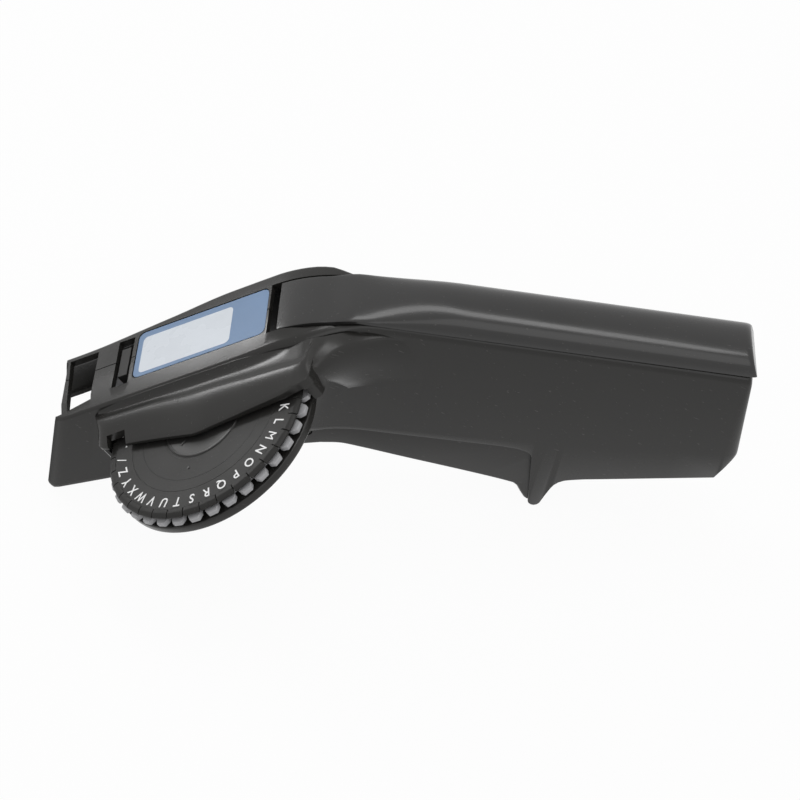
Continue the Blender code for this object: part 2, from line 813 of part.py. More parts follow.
# The upper jaw in plan: (place on the lower edge, place on the ridge), from the wheel's
# centre along the nose and towards the far side
jaw_shape = (
    ((-37.1 * mm, 11.6 * mm), (-36.4 * mm, 11.9 * mm)),
    ((-36.6 * mm, 8.0 * mm), (-35.6 * mm, 9.6 * mm)),
    ((-35.6 * mm, 3.4 * mm), (-33.4 * mm, 7.9 * mm)),
    ((-33.2 * mm, 0.3 * mm), (-31.0 * mm, 7.6 * mm)),
    ((-25.4 * mm, 0.1 * mm), (-22.0 * mm, 7.0 * mm)),
    ((-9.7 * mm, -4.7 * mm), (-9.0 * mm, 6.3 * mm)),
    ((-1.8 * mm, -5.6 * mm), (0, 5.8 * mm)),
    ((11.8 * mm, -5.6 * mm), (12.0 * mm, 5.0 * mm)),
    ((31.9 * mm, -1.5 * mm), (32.0 * mm, 3.2 * mm)),
    ((33.9 * mm, -0.6 * mm), (34.8 * mm, 3.4 * mm)),
    ((36.6 * mm, 0.8 * mm), (37.0 * mm, 5.0 * mm)),
    ((38.4 * mm, 6.0 * mm), (38.7 * mm, 9.0 * mm)),
    ((39.2 * mm, 11.6 * mm), (39.4 * mm, 11.9 * mm)),
)
rear_housing = (
    (33.0 * mm, jaw_root), (33.0 * mm, -0.8 * mm), (37.1 * mm, -7.0 * mm), (38.9 * mm, -9.6 * mm),
    (41.2 * mm, -8.4 * mm), (42.0 * mm, -5.6 * mm), (38.7 * mm, 0.2 * mm), (38.0 * mm, 4.0 * mm),
    (39.0 * mm, jaw_root),
)
front_housing = (
    (-31.0 * mm, jaw_root), (-31.0 * mm, -3.6 * mm), (-34.2 * mm, -3.2 * mm), (-35.2 * mm, 0.8 * mm),
    (-37.4 * mm, 5.4 * mm), (-37.6 * mm, jaw_root),
)


def jaw():
    """The shelf over the wheel: a lip, a sloping face up to a ridge, and a valley behind it."""
    sections = []
    for (low_x, low_y), (ridge_x, ridge_y) in jaw_shape:
        back = min(ridge_y + jaw_valley_width, jaw_root - clearance)
        sections.append([Vector((low_x, low_y, jaw_base)),
                         Vector((low_x, low_y, jaw_underside + jaw_lip)),
                         Vector((ridge_x, ridge_y, jaw_ridge)),
                         Vector((ridge_x, back, jaw_valley)),
                         Vector((ridge_x, jaw_root, jaw_valley)),
                         Vector((ridge_x, jaw_root, jaw_base))])
    return loft(sections)


def chord_disc(radius, thickness, edge):
    """A disc with a straight side, as an outline about the wheel's centre."""
    outline = []
    limit = math.asin(edge / radius)
    for step in range(round_sides * 2 + 1):
        turn = blend(math.pi - limit, 2 * math.pi + limit, step / (round_sides * 2))
        outline.append((radius * math.cos(turn), radius * math.sin(turn)))
    return plate(outline, -thickness, 0, "XY")


# The half shells
front_reach = overrun * 2
hinge_point, hinge_up = top_line(hinge_run)
hinge_spot = hinge_point - hinge_up * hinge_depth
hinge_boss_inside = hinge_ear_inside + hinge_ear_thickness + clearance
for name, side in (("left_shell", -1), ("right_shell", 1)):
    shell = place_part(name, body_half(side), black_plastic, tool)
    near = side < 0
    combine(shell, place_cutter(f"{name}_hollow", body_half(side, side_wall, reach=front_reach), tool))
    combine(shell, place_cutter(f"{name}_fin", fin(side), tool), "UNION")
    if near:
        combine(shell, place_cutter("jaw", jaw(), wheel_axis), "UNION")
        for label, outline in (("rear_housing", rear_housing), ("front_housing", front_housing)):
            high = jaw_underside + jaw_lip - clearance
            lump = place_cutter(label, plate(outline, -housing_bottom, high, "XY"), wheel_axis)
            combine(shell, lump, "UNION")
        sweep = cylinder(slot_radius, -slot_bottom, jaw_underside, "Z", (0, 0), wheel_sides)
        combine(shell, place_cutter("wheel_slot", sweep, wheel_axis))
        notch = box((notch_start, -overrun, 0), (notch_end, notch_depth, jaw_ridge + overrun))
        combine(shell, place_cutter("index_notch", notch, wheel_axis))

    # Bottom opened under the nose and for the trigger
    mouth_front = nose_front.x - overrun
    mouth_low = skirt_front[1] - overrun
    mouth = [(mouth_front, mouth_low), (trigger_pivot[0], mouth_low),
             *pivot_arc(mouth_slit, fin_tip_low[1] - overrun, recess_level + mouth_rise),
             (0, recess_level + mouth_rise), (trigger_pivot[0], skirt_back[1] + overrun),
             (mouth_front, nose_front.z - side_wall)]
    mouth_side = trigger_half_width + clearance
    low, high = sorted((-side * overrun, side * mouth_side))
    combine(shell, place_cutter(f"{name}_mouth", plate(mouth, low, high), tool))
    reach_down = to_nose(*skirt_front)[1] - overrun
    under_side = (nose_near_width if near else nose_tip_far_width) - nose_wall - clearance
    low, high = sorted((-side * overrun, side * under_side))
    under = box((-wheel_to_nose_front - overrun, low, reach_down), (wheel_to_bend / 2, high, -slot_bottom))
    combine(shell, place_cutter(f"{name}_under", under, nose))

    # Room under the cover's front, which swings down as the cover opens
    swing_rings = []
    for run in (slot_start - wheel_to_bend - clearance / 2, hinge_run, hinge_run + swing_past_hinge):
        point, up = top_line(run)
        reach = cover_half_width + 1.5 * clearance
        swing_rings.append([point - up * swing_room + Vector((0, -reach, 0)),
                            point - up * swing_room + Vector((0, reach, 0)),
                            point - up * cover_skin / 2 + Vector((0, reach, 0)),
                            point - up * cover_skin / 2 + Vector((0, -reach, 0))])
    combine(shell, place_cutter(f"{name}_swing_room", loft(swing_rings), tool))

    # Lugs that carry the trigger's pin
    pivot_x, pivot_z = trigger_pivot
    lug_outline = [(pivot_x - lug_half_length, lug_root), (pivot_x - lug_half_length, lug_shoulder)]
    for angle in (190, 225, 270, 315, 350):
        turn = math.radians(angle)
        lug_outline.append((pivot_x + lug_radius * math.cos(turn), pivot_z + lug_radius * math.sin(turn)))
    lug_outline += [(pivot_x + lug_half_length, lug_shoulder), (pivot_x + lug_half_length, lug_root)]
    low, high = sorted((side * lug_inside, side * (lug_inside + lug_thickness)))
    combine(shell, place_cutter(f"{name}_lug", plate(lug_outline, low, high), tool), "UNION")
    low, high = sorted((side * lug_inside, side * (handle_half_width - side_wall / 3)))
    bridge = box((pivot_x - lug_half_length, low, lug_shoulder), (pivot_x + lug_half_length, high, lug_root))
    combine(shell, place_cutter(f"{name}_bridge", bridge, tool), "UNION")
    pivot_bore = cylinder(trigger_pin_radius + running_gap, -trigger_half_width, trigger_half_width, "Y",
                          trigger_pivot, small_sides)
    combine(shell, place_cutter(f"{name}_pivot_bore", pivot_bore, tool))

    # Bosses for the screws and the rib that the return spring bears on
    for index, (x, z) in enumerate(screw_places):
        inside = handle_half_width - side_wall / 2
        low, high = sorted((-side * overrun / 4, side * inside))
        boss = cylinder(boss_radius, low, high, "Y", (x, z), small_sides)
        combine(shell, place_cutter(f"{name}_boss_{index}", boss, tool), "UNION")
    low, high = sorted((side * hinge_boss_inside, side * hinge_boss_reach))
    if not near:
        high -= nose_near_width - nose_far_width
    boss = cylinder(hinge_boss_radius, low, high, "Y", (hinge_spot.x, hinge_spot.z), small_sides)
    combine(shell, place_cutter(f"{name}_hinge_boss", boss, tool), "UNION")
    low, high = sorted((-side * overrun / 5, side * (handle_half_width - side_wall / 2)))
    rib = box((spring_place - seat_rib_length / 2, low, spring_ceiling),
              (spring_place + seat_rib_length / 2, high, spring_ceiling + seat_rib))
    combine(shell, place_cutter(f"{name}_rib", rib, tool), "UNION")

    # The parting plane
    low, high = sorted((side * parting_gap / 2, -side * 2 * nose_near_width))
    far_side = box((-2 * handle_length, low, -handle_length), (2 * handle_length, high, handle_length / 2))
    combine(shell, place_cutter(f"{name}_parting", far_side, tool))
    for index, (x, z) in enumerate(screw_places):
        if near:
            hole = cylinder(screw_hole, -screw_bite - clearance, overrun, "Y", (x, z), small_sides)
        else:
            hole = cylinder(screw_hole, -overrun, handle_half_width + overrun, "Y", (x, z), small_sides)
            sink = cylinder(screw_head_hole, handle_half_width - screw_sink,
                            handle_half_width + overrun, "Y", (x, z), small_sides)
            combine(shell, place_cutter(f"{name}_sink_{index}", sink, tool))
        combine(shell, place_cutter(f"{name}_screw_hole_{index}", hole, tool))

    # Windows, recess for the name plate, and the slot ahead of the cover
    top_high = wheel_below_top + overrun
    top_low = wheel_below_top - top_wall - overrun / 2
    for label, span, sides in (("front_window", front_window, front_window_sides),
                               ("rear_window", rear_window, rear_window_sides)):
        outline = [(span[0], sides[1]), (span[1], sides[1]), (span[1], sides[0]), (span[0], sides[0])]
        if label == "front_window":
            outline[2] = (span[1], front_window_near_rear)
            outline[3] = (front_window_near_start, sides[0])
        gap = plate(outline, top_low, top_high, "XY")
        combine(shell, place_cutter(f"{name}_{label}", gap, nose))
    bar_front = -wheel_to_nose_front
    set_back = plate([(bar_front - overrun, front_window_sides[0] - clearance),
                      (bar_front + nose_set_back, front_window_sides[0] - clearance),
                      (bar_front + nose_far_set_back, front_window_sides[1]),
                      (bar_front - overrun, front_window_sides[1])], top_low, top_high, "XY")
    combine(shell, place_cutter(f"{name}_set_back", set_back, nose))
    seat_side = plate_width / 2 + clearance
    seat = box((plate_start - clearance, -seat_side, wheel_below_top - plate_recess),
               (plate_start + plate_length + clearance / 2, seat_side, top_high))
    combine(shell, place_cutter(f"{name}_plate_seat", seat, nose))

    # The pocket that the cover's front lies in, and the opening under the cover
    pocket_rings = []
    first_run = slot_start - wheel_to_bend
    last_run = bend_run + pocket_run_out
    for run in (first_run, *[share * bend_run for share in front_shares], last_run):
        point, up = top_line(run)
        share = ease((run - pocket_end) / (last_run - pocket_end))
        deep = blend(cover_skin + clearance, clearance - cover_rise, share)
        reach = blend(cover_half_width, handle_half_width, share) + clearance
        pocket_rings.append([point - up * deep + Vector((0, -reach, 0)),
                             point - up * deep + Vector((0, reach, 0)),
                             point + up * overrun + Vector((0, reach, 0)),
                             point + up * overrun + Vector((0, -reach, 0))])
    combine(shell, place_cutter(f"{name}_pocket", loft(pocket_rings), tool))
    opening_rings = []
    for share in (0, 0.1, 0.2, 0.35, 1):
        run = blend(first_run + clearance, bend_run + handle_length - side_wall - clearance, share)
        point, up = top_line(run)
        deep = bend_top_wall + overrun / 2
        opening_rings.append([point - up * deep + Vector((0, -opening_half_width, 0)),
                              point - up * deep + Vector((0, opening_half_width, 0)),
                              point + up * overrun + Vector((0, opening_half_width, 0)),
                              point + up * overrun + Vector((0, -opening_half_width, 0))])
    combine(shell, place_cutter(f"{name}_opening", loft(opening_rings), tool))

    # Hole for the cover's hinge pin
    pin_hole = cylinder(hinge_pin_radius + clearance, -hinge_pin_length / 2 - clearance,
                        hinge_pin_length / 2 + clearance, "Y", (hinge_spot.x, hinge_spot.z), small_sides)
    combine(shell, place_cutter(f"{name}_hinge_hole", pin_hole, tool))
    shade(shell)

# The guard under the wheel
guard_edge = wheel_offset - nose_near_width - clearance
guard = place_part("wheel_guard", chord_disc(guard_radius, guard_thickness, guard_edge), black_plastic,
                   wheel_axis, (0, 0, -guard_top))
bore = cylinder(axle_radius + running_gap, -guard_thickness - overrun, overrun, "Z", (0, 0), small_sides)
combine(guard, place_cutter("guard_bore", bore, wheel_axis, (0, 0, -guard_top)))
shade(guard)

# The name plate
corner_steps = 3
half_long = plate_length / 2 - plate_corner
half_wide = plate_width / 2 - plate_corner
name_outline = []
for quarter, (sx, sy) in enumerate(((1, 1), (-1, 1), (-1, -1), (1, -1))):
    for step in range(corner_steps + 1):
        turn = math.pi / 2 * (quarter + step / corner_steps)
        name_outline.append((plate_start + plate_length / 2 + sx * half_long + plate_corner * math.cos(turn),
                             sy * half_wide + plate_corner * math.sin(turn)))
plate_level = wheel_below_top - plate_recess + clearance / 3
place_part("name_plate", plate(name_outline, plate_level, plate_level + plate_thickness, "XY"), plate_blue, nose)

# The cover
first_run = slot_start + slot_width - wheel_to_bend
last_run = bend_run + handle_length + cover_overhang - cover_rear_slope
cover_pivot = empty("cover_hinge", tool, hinge_spot)
rings = [cover_ring(first_run)]
rings += [cover_ring(share * bend_run) for share in (*front_shares, *rear_shares)]
rings.append(cover_ring(last_run - cover_rear_round, cover_rear_slope))
rings.append(cover_ring(last_run - cover_rear_round / 3, cover_rear_slope, 0, cover_rear_shrink / 4))
rings.append(cover_ring(last_run, cover_rear_slope, 0, cover_rear_shrink))
cover_mesh = loft(rings)
cover_mesh.transform(Matrix.Translation(-hinge_spot))
cover = place_part("top_cover", cover_mesh, gloss_black, cover_pivot)
hollow_first = bend_run + pocket_run_out + 2 * overrun
hollow_runs = [blend(hollow_first, last_run - side_wall, share) for share in (0, 0.1, 0.2, 0.5, 1)]
cover_hollow = loft([cover_ring(run, 0, cover_skin) for run in hollow_runs])
cover_hollow.transform(Matrix.Translation(-hinge_spot))
combine(cover, place_cutter("cover_hollow", cover_hollow, cover_pivot))
for label, side in (("near", -1), ("far", 1)):
    ear_low, ear_high = sorted((side * hinge_ear_inside, side * (hinge_ear_inside + hinge_ear_thickness)))
    eye = cylinder(hinge_eye_radius, ear_low, ear_high, "Y", (0, 0), small_sides)
    combine(cover, place_cutter(f"cover_eye_{label}", eye, cover_pivot), "UNION")
    neck_up = hinge_depth - cover_skin / 2
    neck = box((-hinge_eye_radius / 2, ear_low, 0), (hinge_eye_radius, ear_high, neck_up))
    turn = math.asin(hinge_up.x)
    neck.transform(Matrix.Rotation(turn, 4, "Y"))
    combine(cover, place_cutter(f"cover_neck_{label}", neck, cover_pivot), "UNION")
eye_bore = cylinder(hinge_pin_radius + running_gap, -handle_half_width, handle_half_width, "Y", (0, 0), small_sides)
combine(cover, place_cutter("cover_bore", eye_bore, cover_pivot))
shade(cover)

pin = cylinder(hinge_pin_radius, -hinge_pin_length / 2, hinge_pin_length / 2, "Y",
               (hinge_spot.x, hinge_spot.z), small_sides)
shade(place_part("cover_hinge_pin", pin, steel, tool))

# The catch inside the rear wall
catch_x = rear_top[0] - side_wall - 2 * clearance
catch_outline = [(catch_x - catch_thickness, catch_top - catch_height), (catch_x, catch_top - catch_height),
                 (catch_x, catch_top), (catch_x - catch_hook, catch_top),
                 (catch_x - catch_hook, catch_top - catch_thickness),
                 (catch_x - catch_thickness, catch_top - catch_thickness)]
place_part("cover_catch", plate(catch_outline, -catch_half_width, catch_half_width), steel, tool)

# The trigger, about its pivot
trigger_axis = empty("trigger_axis", tool, (trigger_pivot[0], 0, trigger_pivot[1]))


def about_pivot(points):
    return [(x - trigger_pivot[0], z - trigger_pivot[1]) for x, z in points]


trigger_bottoms = (trigger_belly_start, trigger_belly_front, trigger_belly_middle, trigger_belly_back)


def trigger_floor_at(x):
    return along(trigger_bottoms, x) + trigger_floor


def trigger_outline():
    back = pivot_arc(0, trigger_tip[1], trigger_top_back)
    nose_round = []
    for angle in (60, 100, 140, 180, 210, 235, 258):
        turn = math.radians(angle)
        radius = blend(trigger_boss_radius, trigger_front_radius, ease((angle - 150) / 80))
        nose_round.append((trigger_pivot[0] + radius * math.cos(turn), trigger_pivot[1] + radius * math.sin(turn)))
    belly = [*trigger_bottoms, trigger_tip_front]
    return about_pivot([*belly, *back, (trigger_top_start, trigger_top_front), *nose_round])


trigger = place_part("trigger", plate(trigger_outline(), -trigger_half_width, trigger_half_width),
                     black_plastic, trigger_axis)
inside = trigger_half_width - trigger_wall + clearance / 3
channel_front = trigger_pivot[0] - lug_radius - 2 * clearance
channel_outline = about_pivot([
    (channel_front, trigger_pivot[1] - lug_radius), (trigger_pivot[0], trigger_pivot[1] - lug_radius - clearance),
    *[(x, trigger_floor_at(x)) for x, low in trigger_bottoms[1:]],
    (trigger_belly_back[0], trigger_top_back + overrun), (channel_front, trigger_top_back + overrun)])
combine(trigger, place_cutter("trigger_channel", plate(channel_outline, -inside, inside), trigger_axis))
bore = cylinder(trigger_pin_radius + running_gap, -handle_half_width, handle_half_width, "Y", (0, 0), small_sides)
combine(trigger, place_cutter("trigger_bore", bore, trigger_axis))
shade(trigger)
pin_half = trigger_half_width - clearance
pin = cylinder(trigger_pin_radius, -pin_half, pin_half, "Y", trigger_pivot, small_sides)
shade(place_part("trigger_pin", pin, steel, tool))

# The return spring between the trigger's floor and the rib
spring_low = trigger_floor_at(spring_place - spring_radius) + spring_wire + clearance
spring_high = spring_ceiling - spring_wire - clearance
coil = []
for step in range(spring_turns * spring_points_per_turn + 1):
    turn = 2 * math.pi * step / spring_points_per_turn
    coil.append((spring_place + spring_radius * math.cos(turn), spring_radius * math.sin(turn),
                 blend(spring_low, spring_high, step / (spring_turns * spring_points_per_turn))))
shade(place_part("trigger_spring", tube(coil, spring_wire, 1), steel, tool))

# The character wheel
disc_top = 0
upper_rings = [finger_ring(finger_top_radius, finger_root_radius, finger_gap, disc_top),
               finger_ring(finger_radius, finger_root_radius, finger_gap, disc_top - upper_disc_thickness * 0.6),
               finger_ring(finger_radius, finger_root_radius, finger_gap, disc_top - upper_disc_thickness)]
upper_disc = place_part("upper_disc", loft(upper_rings), disc_black, wheel_axis)
bore = cylinder(disc_bore, -overrun - upper_disc_thickness, overrun, "Z", (0, 0), small_sides)
combine(upper_disc, place_cutter("upper_disc_bore", bore, wheel_axis))
shade(upper_disc)
lower_top = -upper_disc_thickness - tape_gap
lower_mesh = plate(tooth_outline(), lower_top - lower_disc_thickness, lower_top, "XY")
lower_disc = place_part("lower_disc", lower_mesh, grey_plastic, wheel_axis)
bore = cylinder(disc_bore, lower_top - lower_disc_thickness - overrun, lower_top + overrun, "Z", (0, 0), small_sides)
combine(lower_disc, place_cutter("lower_disc_bore", bore, wheel_axis))
shade(lower_disc)
lower_bottom = lower_top - lower_disc_thickness
hub_bore = axle_radius + running_gap
hub_bottom = lower_bottom - clearance
hub_profile = [(hub_bore, hub_height + clearance), (hub_radius * 0.92, hub_height + clearance),
               (hub_radius, hub_height), (hub_radius, clearance),
               (hub_stem, clearance), (hub_stem, hub_bottom), (hub_bore, hub_bottom),
               (hub_bore, hub_height + clearance)]
shade(place_part("wheel_hub", turned(hub_profile), disc_black, wheel_axis))
nut_top = hub_bottom - clearance / 3
nut_bottom = -guard_top + clearance
nut_profile = [(hub_bore, nut_top), (hub_stem + running_gap * 4, nut_top), (hub_stem + running_gap * 4, nut_bottom),
               (hub_bore, nut_bottom), (hub_bore, nut_top)]
shade(place_part("hub_ring", turned(nut_profile), grey_plastic, wheel_axis))
spacer_high = -upper_disc_thickness - clearance / 2
spacer_low = lower_top + clearance / 2
spacer_profile = [(hub_stem + running_gap, spacer_high), (hub_radius / 2, spacer_high),
                  (hub_radius / 2, spacer_low), (hub_stem + running_gap, spacer_low),
                  (hub_stem + running_gap, spacer_high)]
shade(place_part("disc_spacer", turned(spacer_profile, small_sides), white_plastic, wheel_axis))

axle_top = jaw_underside + jaw_lip
axle_bottom = -guard_top - guard_thickness - overrun / 2
axle_hole = cylinder(axle_radius + clearance, 0, axle_top + clearance, "Z", (0, 0), small_sides)
combine(bpy.data.objects["left_shell"], place_cutter("axle_hole", axle_hole, wheel_axis))
axle = cylinder(axle_radius, axle_bottom, axle_top, "Z", (0, 0), small_sides)
shade(place_part("wheel_axle", axle, steel, wheel_axis))
clip_high = -guard_top - guard_thickness - clearance
clip_profile = [(axle_radius + clearance / 3, clip_high), (2 * axle_radius, clip_high),
                (2 * axle_radius, clip_high - clearance * 3), (axle_radius + clearance / 3, clip_high - clearance * 3),
                (axle_radius + clearance / 3, clip_high)]
shade(place_part("axle_clip", turned(clip_profile, small_sides), steel, wheel_axis))

# The leaf that stops the wheel at each character
leaf_low = -guard_top + clearance
leaf_thickness = clearance
leaf_width = axle_radius * 1.5
leaf_near = -hub_radius * 0.6
leaf_reach = finger_root_radius * 0.8
leaf = plate([(leaf_near, leaf_low), (leaf_near - leaf_reach * 0.6, leaf_low),
              (leaf_near - leaf_reach * 0.7, leaf_low + leaf_thickness * 1.5),
              (leaf_near - leaf_reach * 0.6, leaf_low + leaf_thickness),
              (leaf_near, leaf_low + leaf_thickness)], -leaf_width - hub_radius, leaf_width - hub_radius)
place_part("detent_spring", leaf, steel, wheel_axis)

# Anvil over the wheel and presser under it
anvil_top = wheel_below_top - top_wall - clearance
anvil = box((-anvil_size[0] / 2, -anvil_size[1] / 2, anvil_clear), (anvil_size[0] / 2, anvil_size[1] / 2, anvil_top))
place_part("anvil", anvil, steel, nose)
presser_axis = empty("presser_slide", nose)
presser = box((-presser_size[0] / 2, -presser_size[1] / 2, presser_rest - presser_length),
              (presser_size[0] / 2, presser_size[1] / 2, presser_rest))
place_part("presser", presser, steel, presser_axis)

# The lever that carries the squeeze from the trigger to the presser
lever_axis = empty("lever_axis", nose, (lever_pivot[0], 0, lever_pivot[1]))
end = Vector(to_nose(*lever_end)) - Vector(lever_pivot)
under_presser = presser_rest - presser_length - clearance - lever_pivot[1]
presser_run = -lever_pivot[0]
lever_outline = [(0, lever_eye), (presser_run - presser_size[0] / 2, under_presser),
                 (presser_run + presser_size[0] / 2, under_presser), (end.x, end.y),
                 (end.x - lever_height / 2, end.y - lever_height), (presser_run, under_presser - lever_height * 1.6),
                 (0, -lever_eye), (-lever_eye * 0.8, -lever_eye * 0.6), (-lever_eye, 0), (-lever_eye * 0.8, lever_eye * 0.6)]
lever = place_part("press_lever", plate(lever_outline, -lever_width / 2, lever_width / 2), steel, lever_axis)
bore = cylinder(lever_pin_radius + running_gap, -lever_width, lever_width, "Y", (0, 0), small_sides)
combine(lever, place_cutter("lever_bore", bore, lever_axis))
shade(lever)

lever_pin_half = lever_width / 2 + overrun
pin = cylinder(lever_pin_radius, -lever_pin_half, lever_pin_half, "Y", (0, 0), small_sides)
shade(place_part("lever_pin", pin, steel, nose, (lever_pivot[0], 0, lever_pivot[1])))
push_front = lever_end[0] - push_length / 2
push_back = lever_end[0] + push_length / 2
push_outline = about_pivot([
    (push_front, trigger_floor_at(push_front) + clearance / 3),
    (push_back, trigger_floor_at(push_back) + clearance / 3),
    (push_back, lever_end[1] - lever_height - 4 * clearance),
    (push_front, lever_end[1] - lever_height - 4 * clearance)])
place_part("push_block", plate(push_outline, -push_width / 2, push_width / 2), white_plastic, trigger_axis)

# Cutter behind the rear window
cutter_axis = empty("cutter_slide", nose, (cutter_place, 0, 0))
holder = box((-cutter_thickness / 2, -cutter_width / 2, cutter_low),
             (cutter_thickness / 2, cutter_width / 2, cutter_high))
cutter_holder = place_part("cutter_holder", holder, disc_black, cutter_axis)
groove = box((-cutter_thickness, -cutter_width, cutter_low - overrun),
             (-cutter_thickness / 2 + blade_thickness + clearance, cutter_width, cutter_low + blade_bite + clearance))
combine(cutter_holder, place_cutter("blade_groove", groove, cutter_axis))
blade_front = -cutter_thickness / 2
blade = plate([(blade_front, cutter_low + blade_bite), (blade_front, blade_edge),
               (blade_front + blade_thickness, blade_edge + blade_thickness),
               (blade_front + blade_thickness, cutter_low + blade_bite)],
              -blade_width / 2, blade_width / 2)
place_part("cutter_blade", blade, blade_steel, cutter_axis)

# Channel that guides the tape out of the nose
channel_low = tape_level - tape_thickness - guide_plate
channel = box((guide_start, -guide_half_width, channel_low), (guide_end, guide_half_width, channel_low + guide_side))
tape_guide = place_part("tape_guide", channel, grey_plastic, nose)
path = box((guide_start - overrun, -guide_half_width + guide_plate, channel_low + guide_plate),
           (guide_end + overrun, guide_half_width - guide_plate, channel_low + guide_side + overrun))
combine(tape_guide, place_cutter("tape_path", path, nose))
wings = box((guide_start + clearance, guide_wings[0], channel_low - guide_plate / 2),
            (guide_wing_end, guide_wings[1], channel_low + guide_plate / 2))
combine(tape_guide, place_cutter("guide_wings", wings, nose), "UNION")

# Tape feed: roller with its ratchet, pressure roller, and the frame that carries them
feed_level = tape_level - tape_thickness / 2 - feed_radius - clearance / 2
pressure_level = tape_level + tape_thickness / 2 + pressure_radius + clearance / 2
feed_axis = empty("feed_axis", nose, (feed_place, 0, feed_level))
pressure_axis = empty("pressure_axis", nose, (feed_place, 0, pressure_level))
axle_half = frame_inside + frame_plate + axle_end
roller = cylinder(feed_radius, -feed_half_length, feed_half_length, "Y", (0, 0), round_sides)
feed_roller = place_part("feed_roller", roller, rubber, feed_axis)
bore = cylinder(feed_axle_radius + clearance / 3, -frame_inside, frame_inside, "Y", (0, 0), small_sides)
combine(feed_roller, place_cutter("feed_bore", bore, feed_axis))
shade(feed_roller)
axle = cylinder(feed_axle_radius, -axle_half, axle_half, "Y", (0, 0), small_sides)
shade(place_part("feed_axle", axle, steel, feed_axis))
ratchet_outline = []
for tooth in range(ratchet_teeth):
    turn = 2 * math.pi * tooth / ratchet_teeth
    later = 2 * math.pi * (tooth + 0.85) / ratchet_teeth
    ratchet_outline.append((ratchet_radius * math.cos(turn), ratchet_radius * math.sin(turn)))
    ratchet_outline.append((ratchet_root * math.cos(later), ratchet_root * math.sin(later)))
ratchet_near = feed_half_length + clearance
ratchet_mesh = plate(ratchet_outline, ratchet_near, ratchet_near + ratchet_thickness)
ratchet = place_part("ratchet_wheel", ratchet_mesh, white_plastic, feed_axis)
bore = cylinder(feed_axle_radius + clearance / 3, 0, frame_inside, "Y", (0, 0), small_sides)
combine(ratchet, place_cutter("ratchet_bore", bore, feed_axis))
roller = cylinder(pressure_radius, -feed_half_length, feed_half_length, "Y", (0, 0), round_sides)
pressure_roller = place_part("pressure_roller", roller, grey_plastic, pressure_axis)
bore = cylinder(pressure_axle_radius + clearance, -frame_inside, frame_inside, "Y", (0, 0), small_sides)
combine(pressure_roller, place_cutter("pressure_bore", bore, pressure_axis))
shade(pressure_roller)
axle = cylinder(pressure_axle_radius, -axle_half, axle_half, "Y", (0, 0), small_sides)
shade(place_part("pressure_axle", axle, steel, nose, (feed_place, 0, pressure_level)))
frame_outline = [(frame_front, frame_low), (frame_back, frame_low), (frame_back, frame_shoulder),
                 (frame_top_back, frame_high), (frame_top_front, frame_high), (frame_front, frame_shoulder)]
feed_frame = place_part("feed_frame", plate(frame_outline, -frame_inside - frame_plate, frame_inside + frame_plate),
                        steel, nose)
inner = box((frame_front + frame_plate, -frame_inside, frame_low - overrun),
            (frame_back + overrun, frame_inside, frame_high + overrun))
combine(feed_frame, place_cutter("frame_inside", inner, nose))
tape_way = box((frame_front - overrun, -frame_inside, frame_web_top),
               (frame_front + overrun, frame_inside, frame_high + overrun))
combine(feed_frame, place_cutter("frame_tape_way", tape_way, nose))
for label, radius, level in (("feed", feed_axle_radius, feed_level), ("pressure", pressure_axle_radius, pressure_level)):
    hole = cylinder(radius + clearance, -2 * axle_half, 2 * axle_half, "Y", (feed_place, level), small_sides)
    combine(feed_frame, place_cutter(f"frame_hole_{label}", hole, nose))

# Feed arm on the trigger with its pawl under the ratchet
ratchet_spot = Vector(to_handle(feed_place, feed_level))
arm_top = (ratchet_spot.x + arm_from_ratchet[0], ratchet_spot.y + arm_from_ratchet[1])
arm_outline = about_pivot([
    (arm_foot[0] - arm_width / 2, arm_foot[1]), (arm_foot[0] + arm_width / 2, arm_foot[1]),
    (arm_top[0] + arm_width / 2, arm_top[1]), (arm_top[0] - arm_width / 2, arm_top[1])])
arm_mesh = plate(arm_outline, arm_inside - arm_thickness, arm_inside)
place_part("feed_arm", arm_mesh, steel, trigger_axis)
pawl_tip = ratchet_spot + Vector((pawl_width, -ratchet_radius - pawl_clear))
pawl_outline = about_pivot([
    (arm_top[0] - pawl_width / 2, arm_top[1] - pawl_width), (arm_top[0] + pawl_width, arm_top[1] - pawl_width),
    (pawl_tip.x + pawl_width / 2, pawl_tip.y - pawl_width / 2), tuple(pawl_tip)])
pawl_low = arm_inside + clearance
place_part("feed_pawl", plate(pawl_outline, pawl_low, pawl_low + arm_thickness), steel, trigger_axis)

# Cradle for the roll of tape
cradle_outline = []
for radius, order in ((cradle_radius, 1), (cradle_radius + cradle_wall, -1)):
    steps = range(cradle_steps + 1)
    for step in (steps if order > 0 else reversed(steps)):
        turn = blend(cradle_arc[0], cradle_arc[1], step / cradle_steps)
        cradle_outline.append((cradle_centre[0] + radius * math.cos(turn), cradle_centre[1] + radius * math.sin(turn)))
shade(place_part("tape_cradle", plate(cradle_outline, -cradle_half_width, cradle_half_width), grey_plastic, tool))

# Screws from the far side
head_low = handle_half_width - screw_sink + clearance
screw_profile = [(0, head_low + screw_head_height), (screw_head_radius, head_low + screw_head_height),
                 (screw_head_radius, head_low), (screw_radius, head_low), (screw_radius, -screw_bite),
                 (0, -screw_bite)]
for label, (x, z) in zip(("fin", "rear", "front"), screw_places):
    screw = turned(screw_profile, small_sides)
    screw.transform(Matrix.Translation((x, 0, z)) @ Matrix.Rotation(-math.pi / 2, 4, "X"))
    shade(place_part(f"shell_screw_{label}", screw, steel, tool))

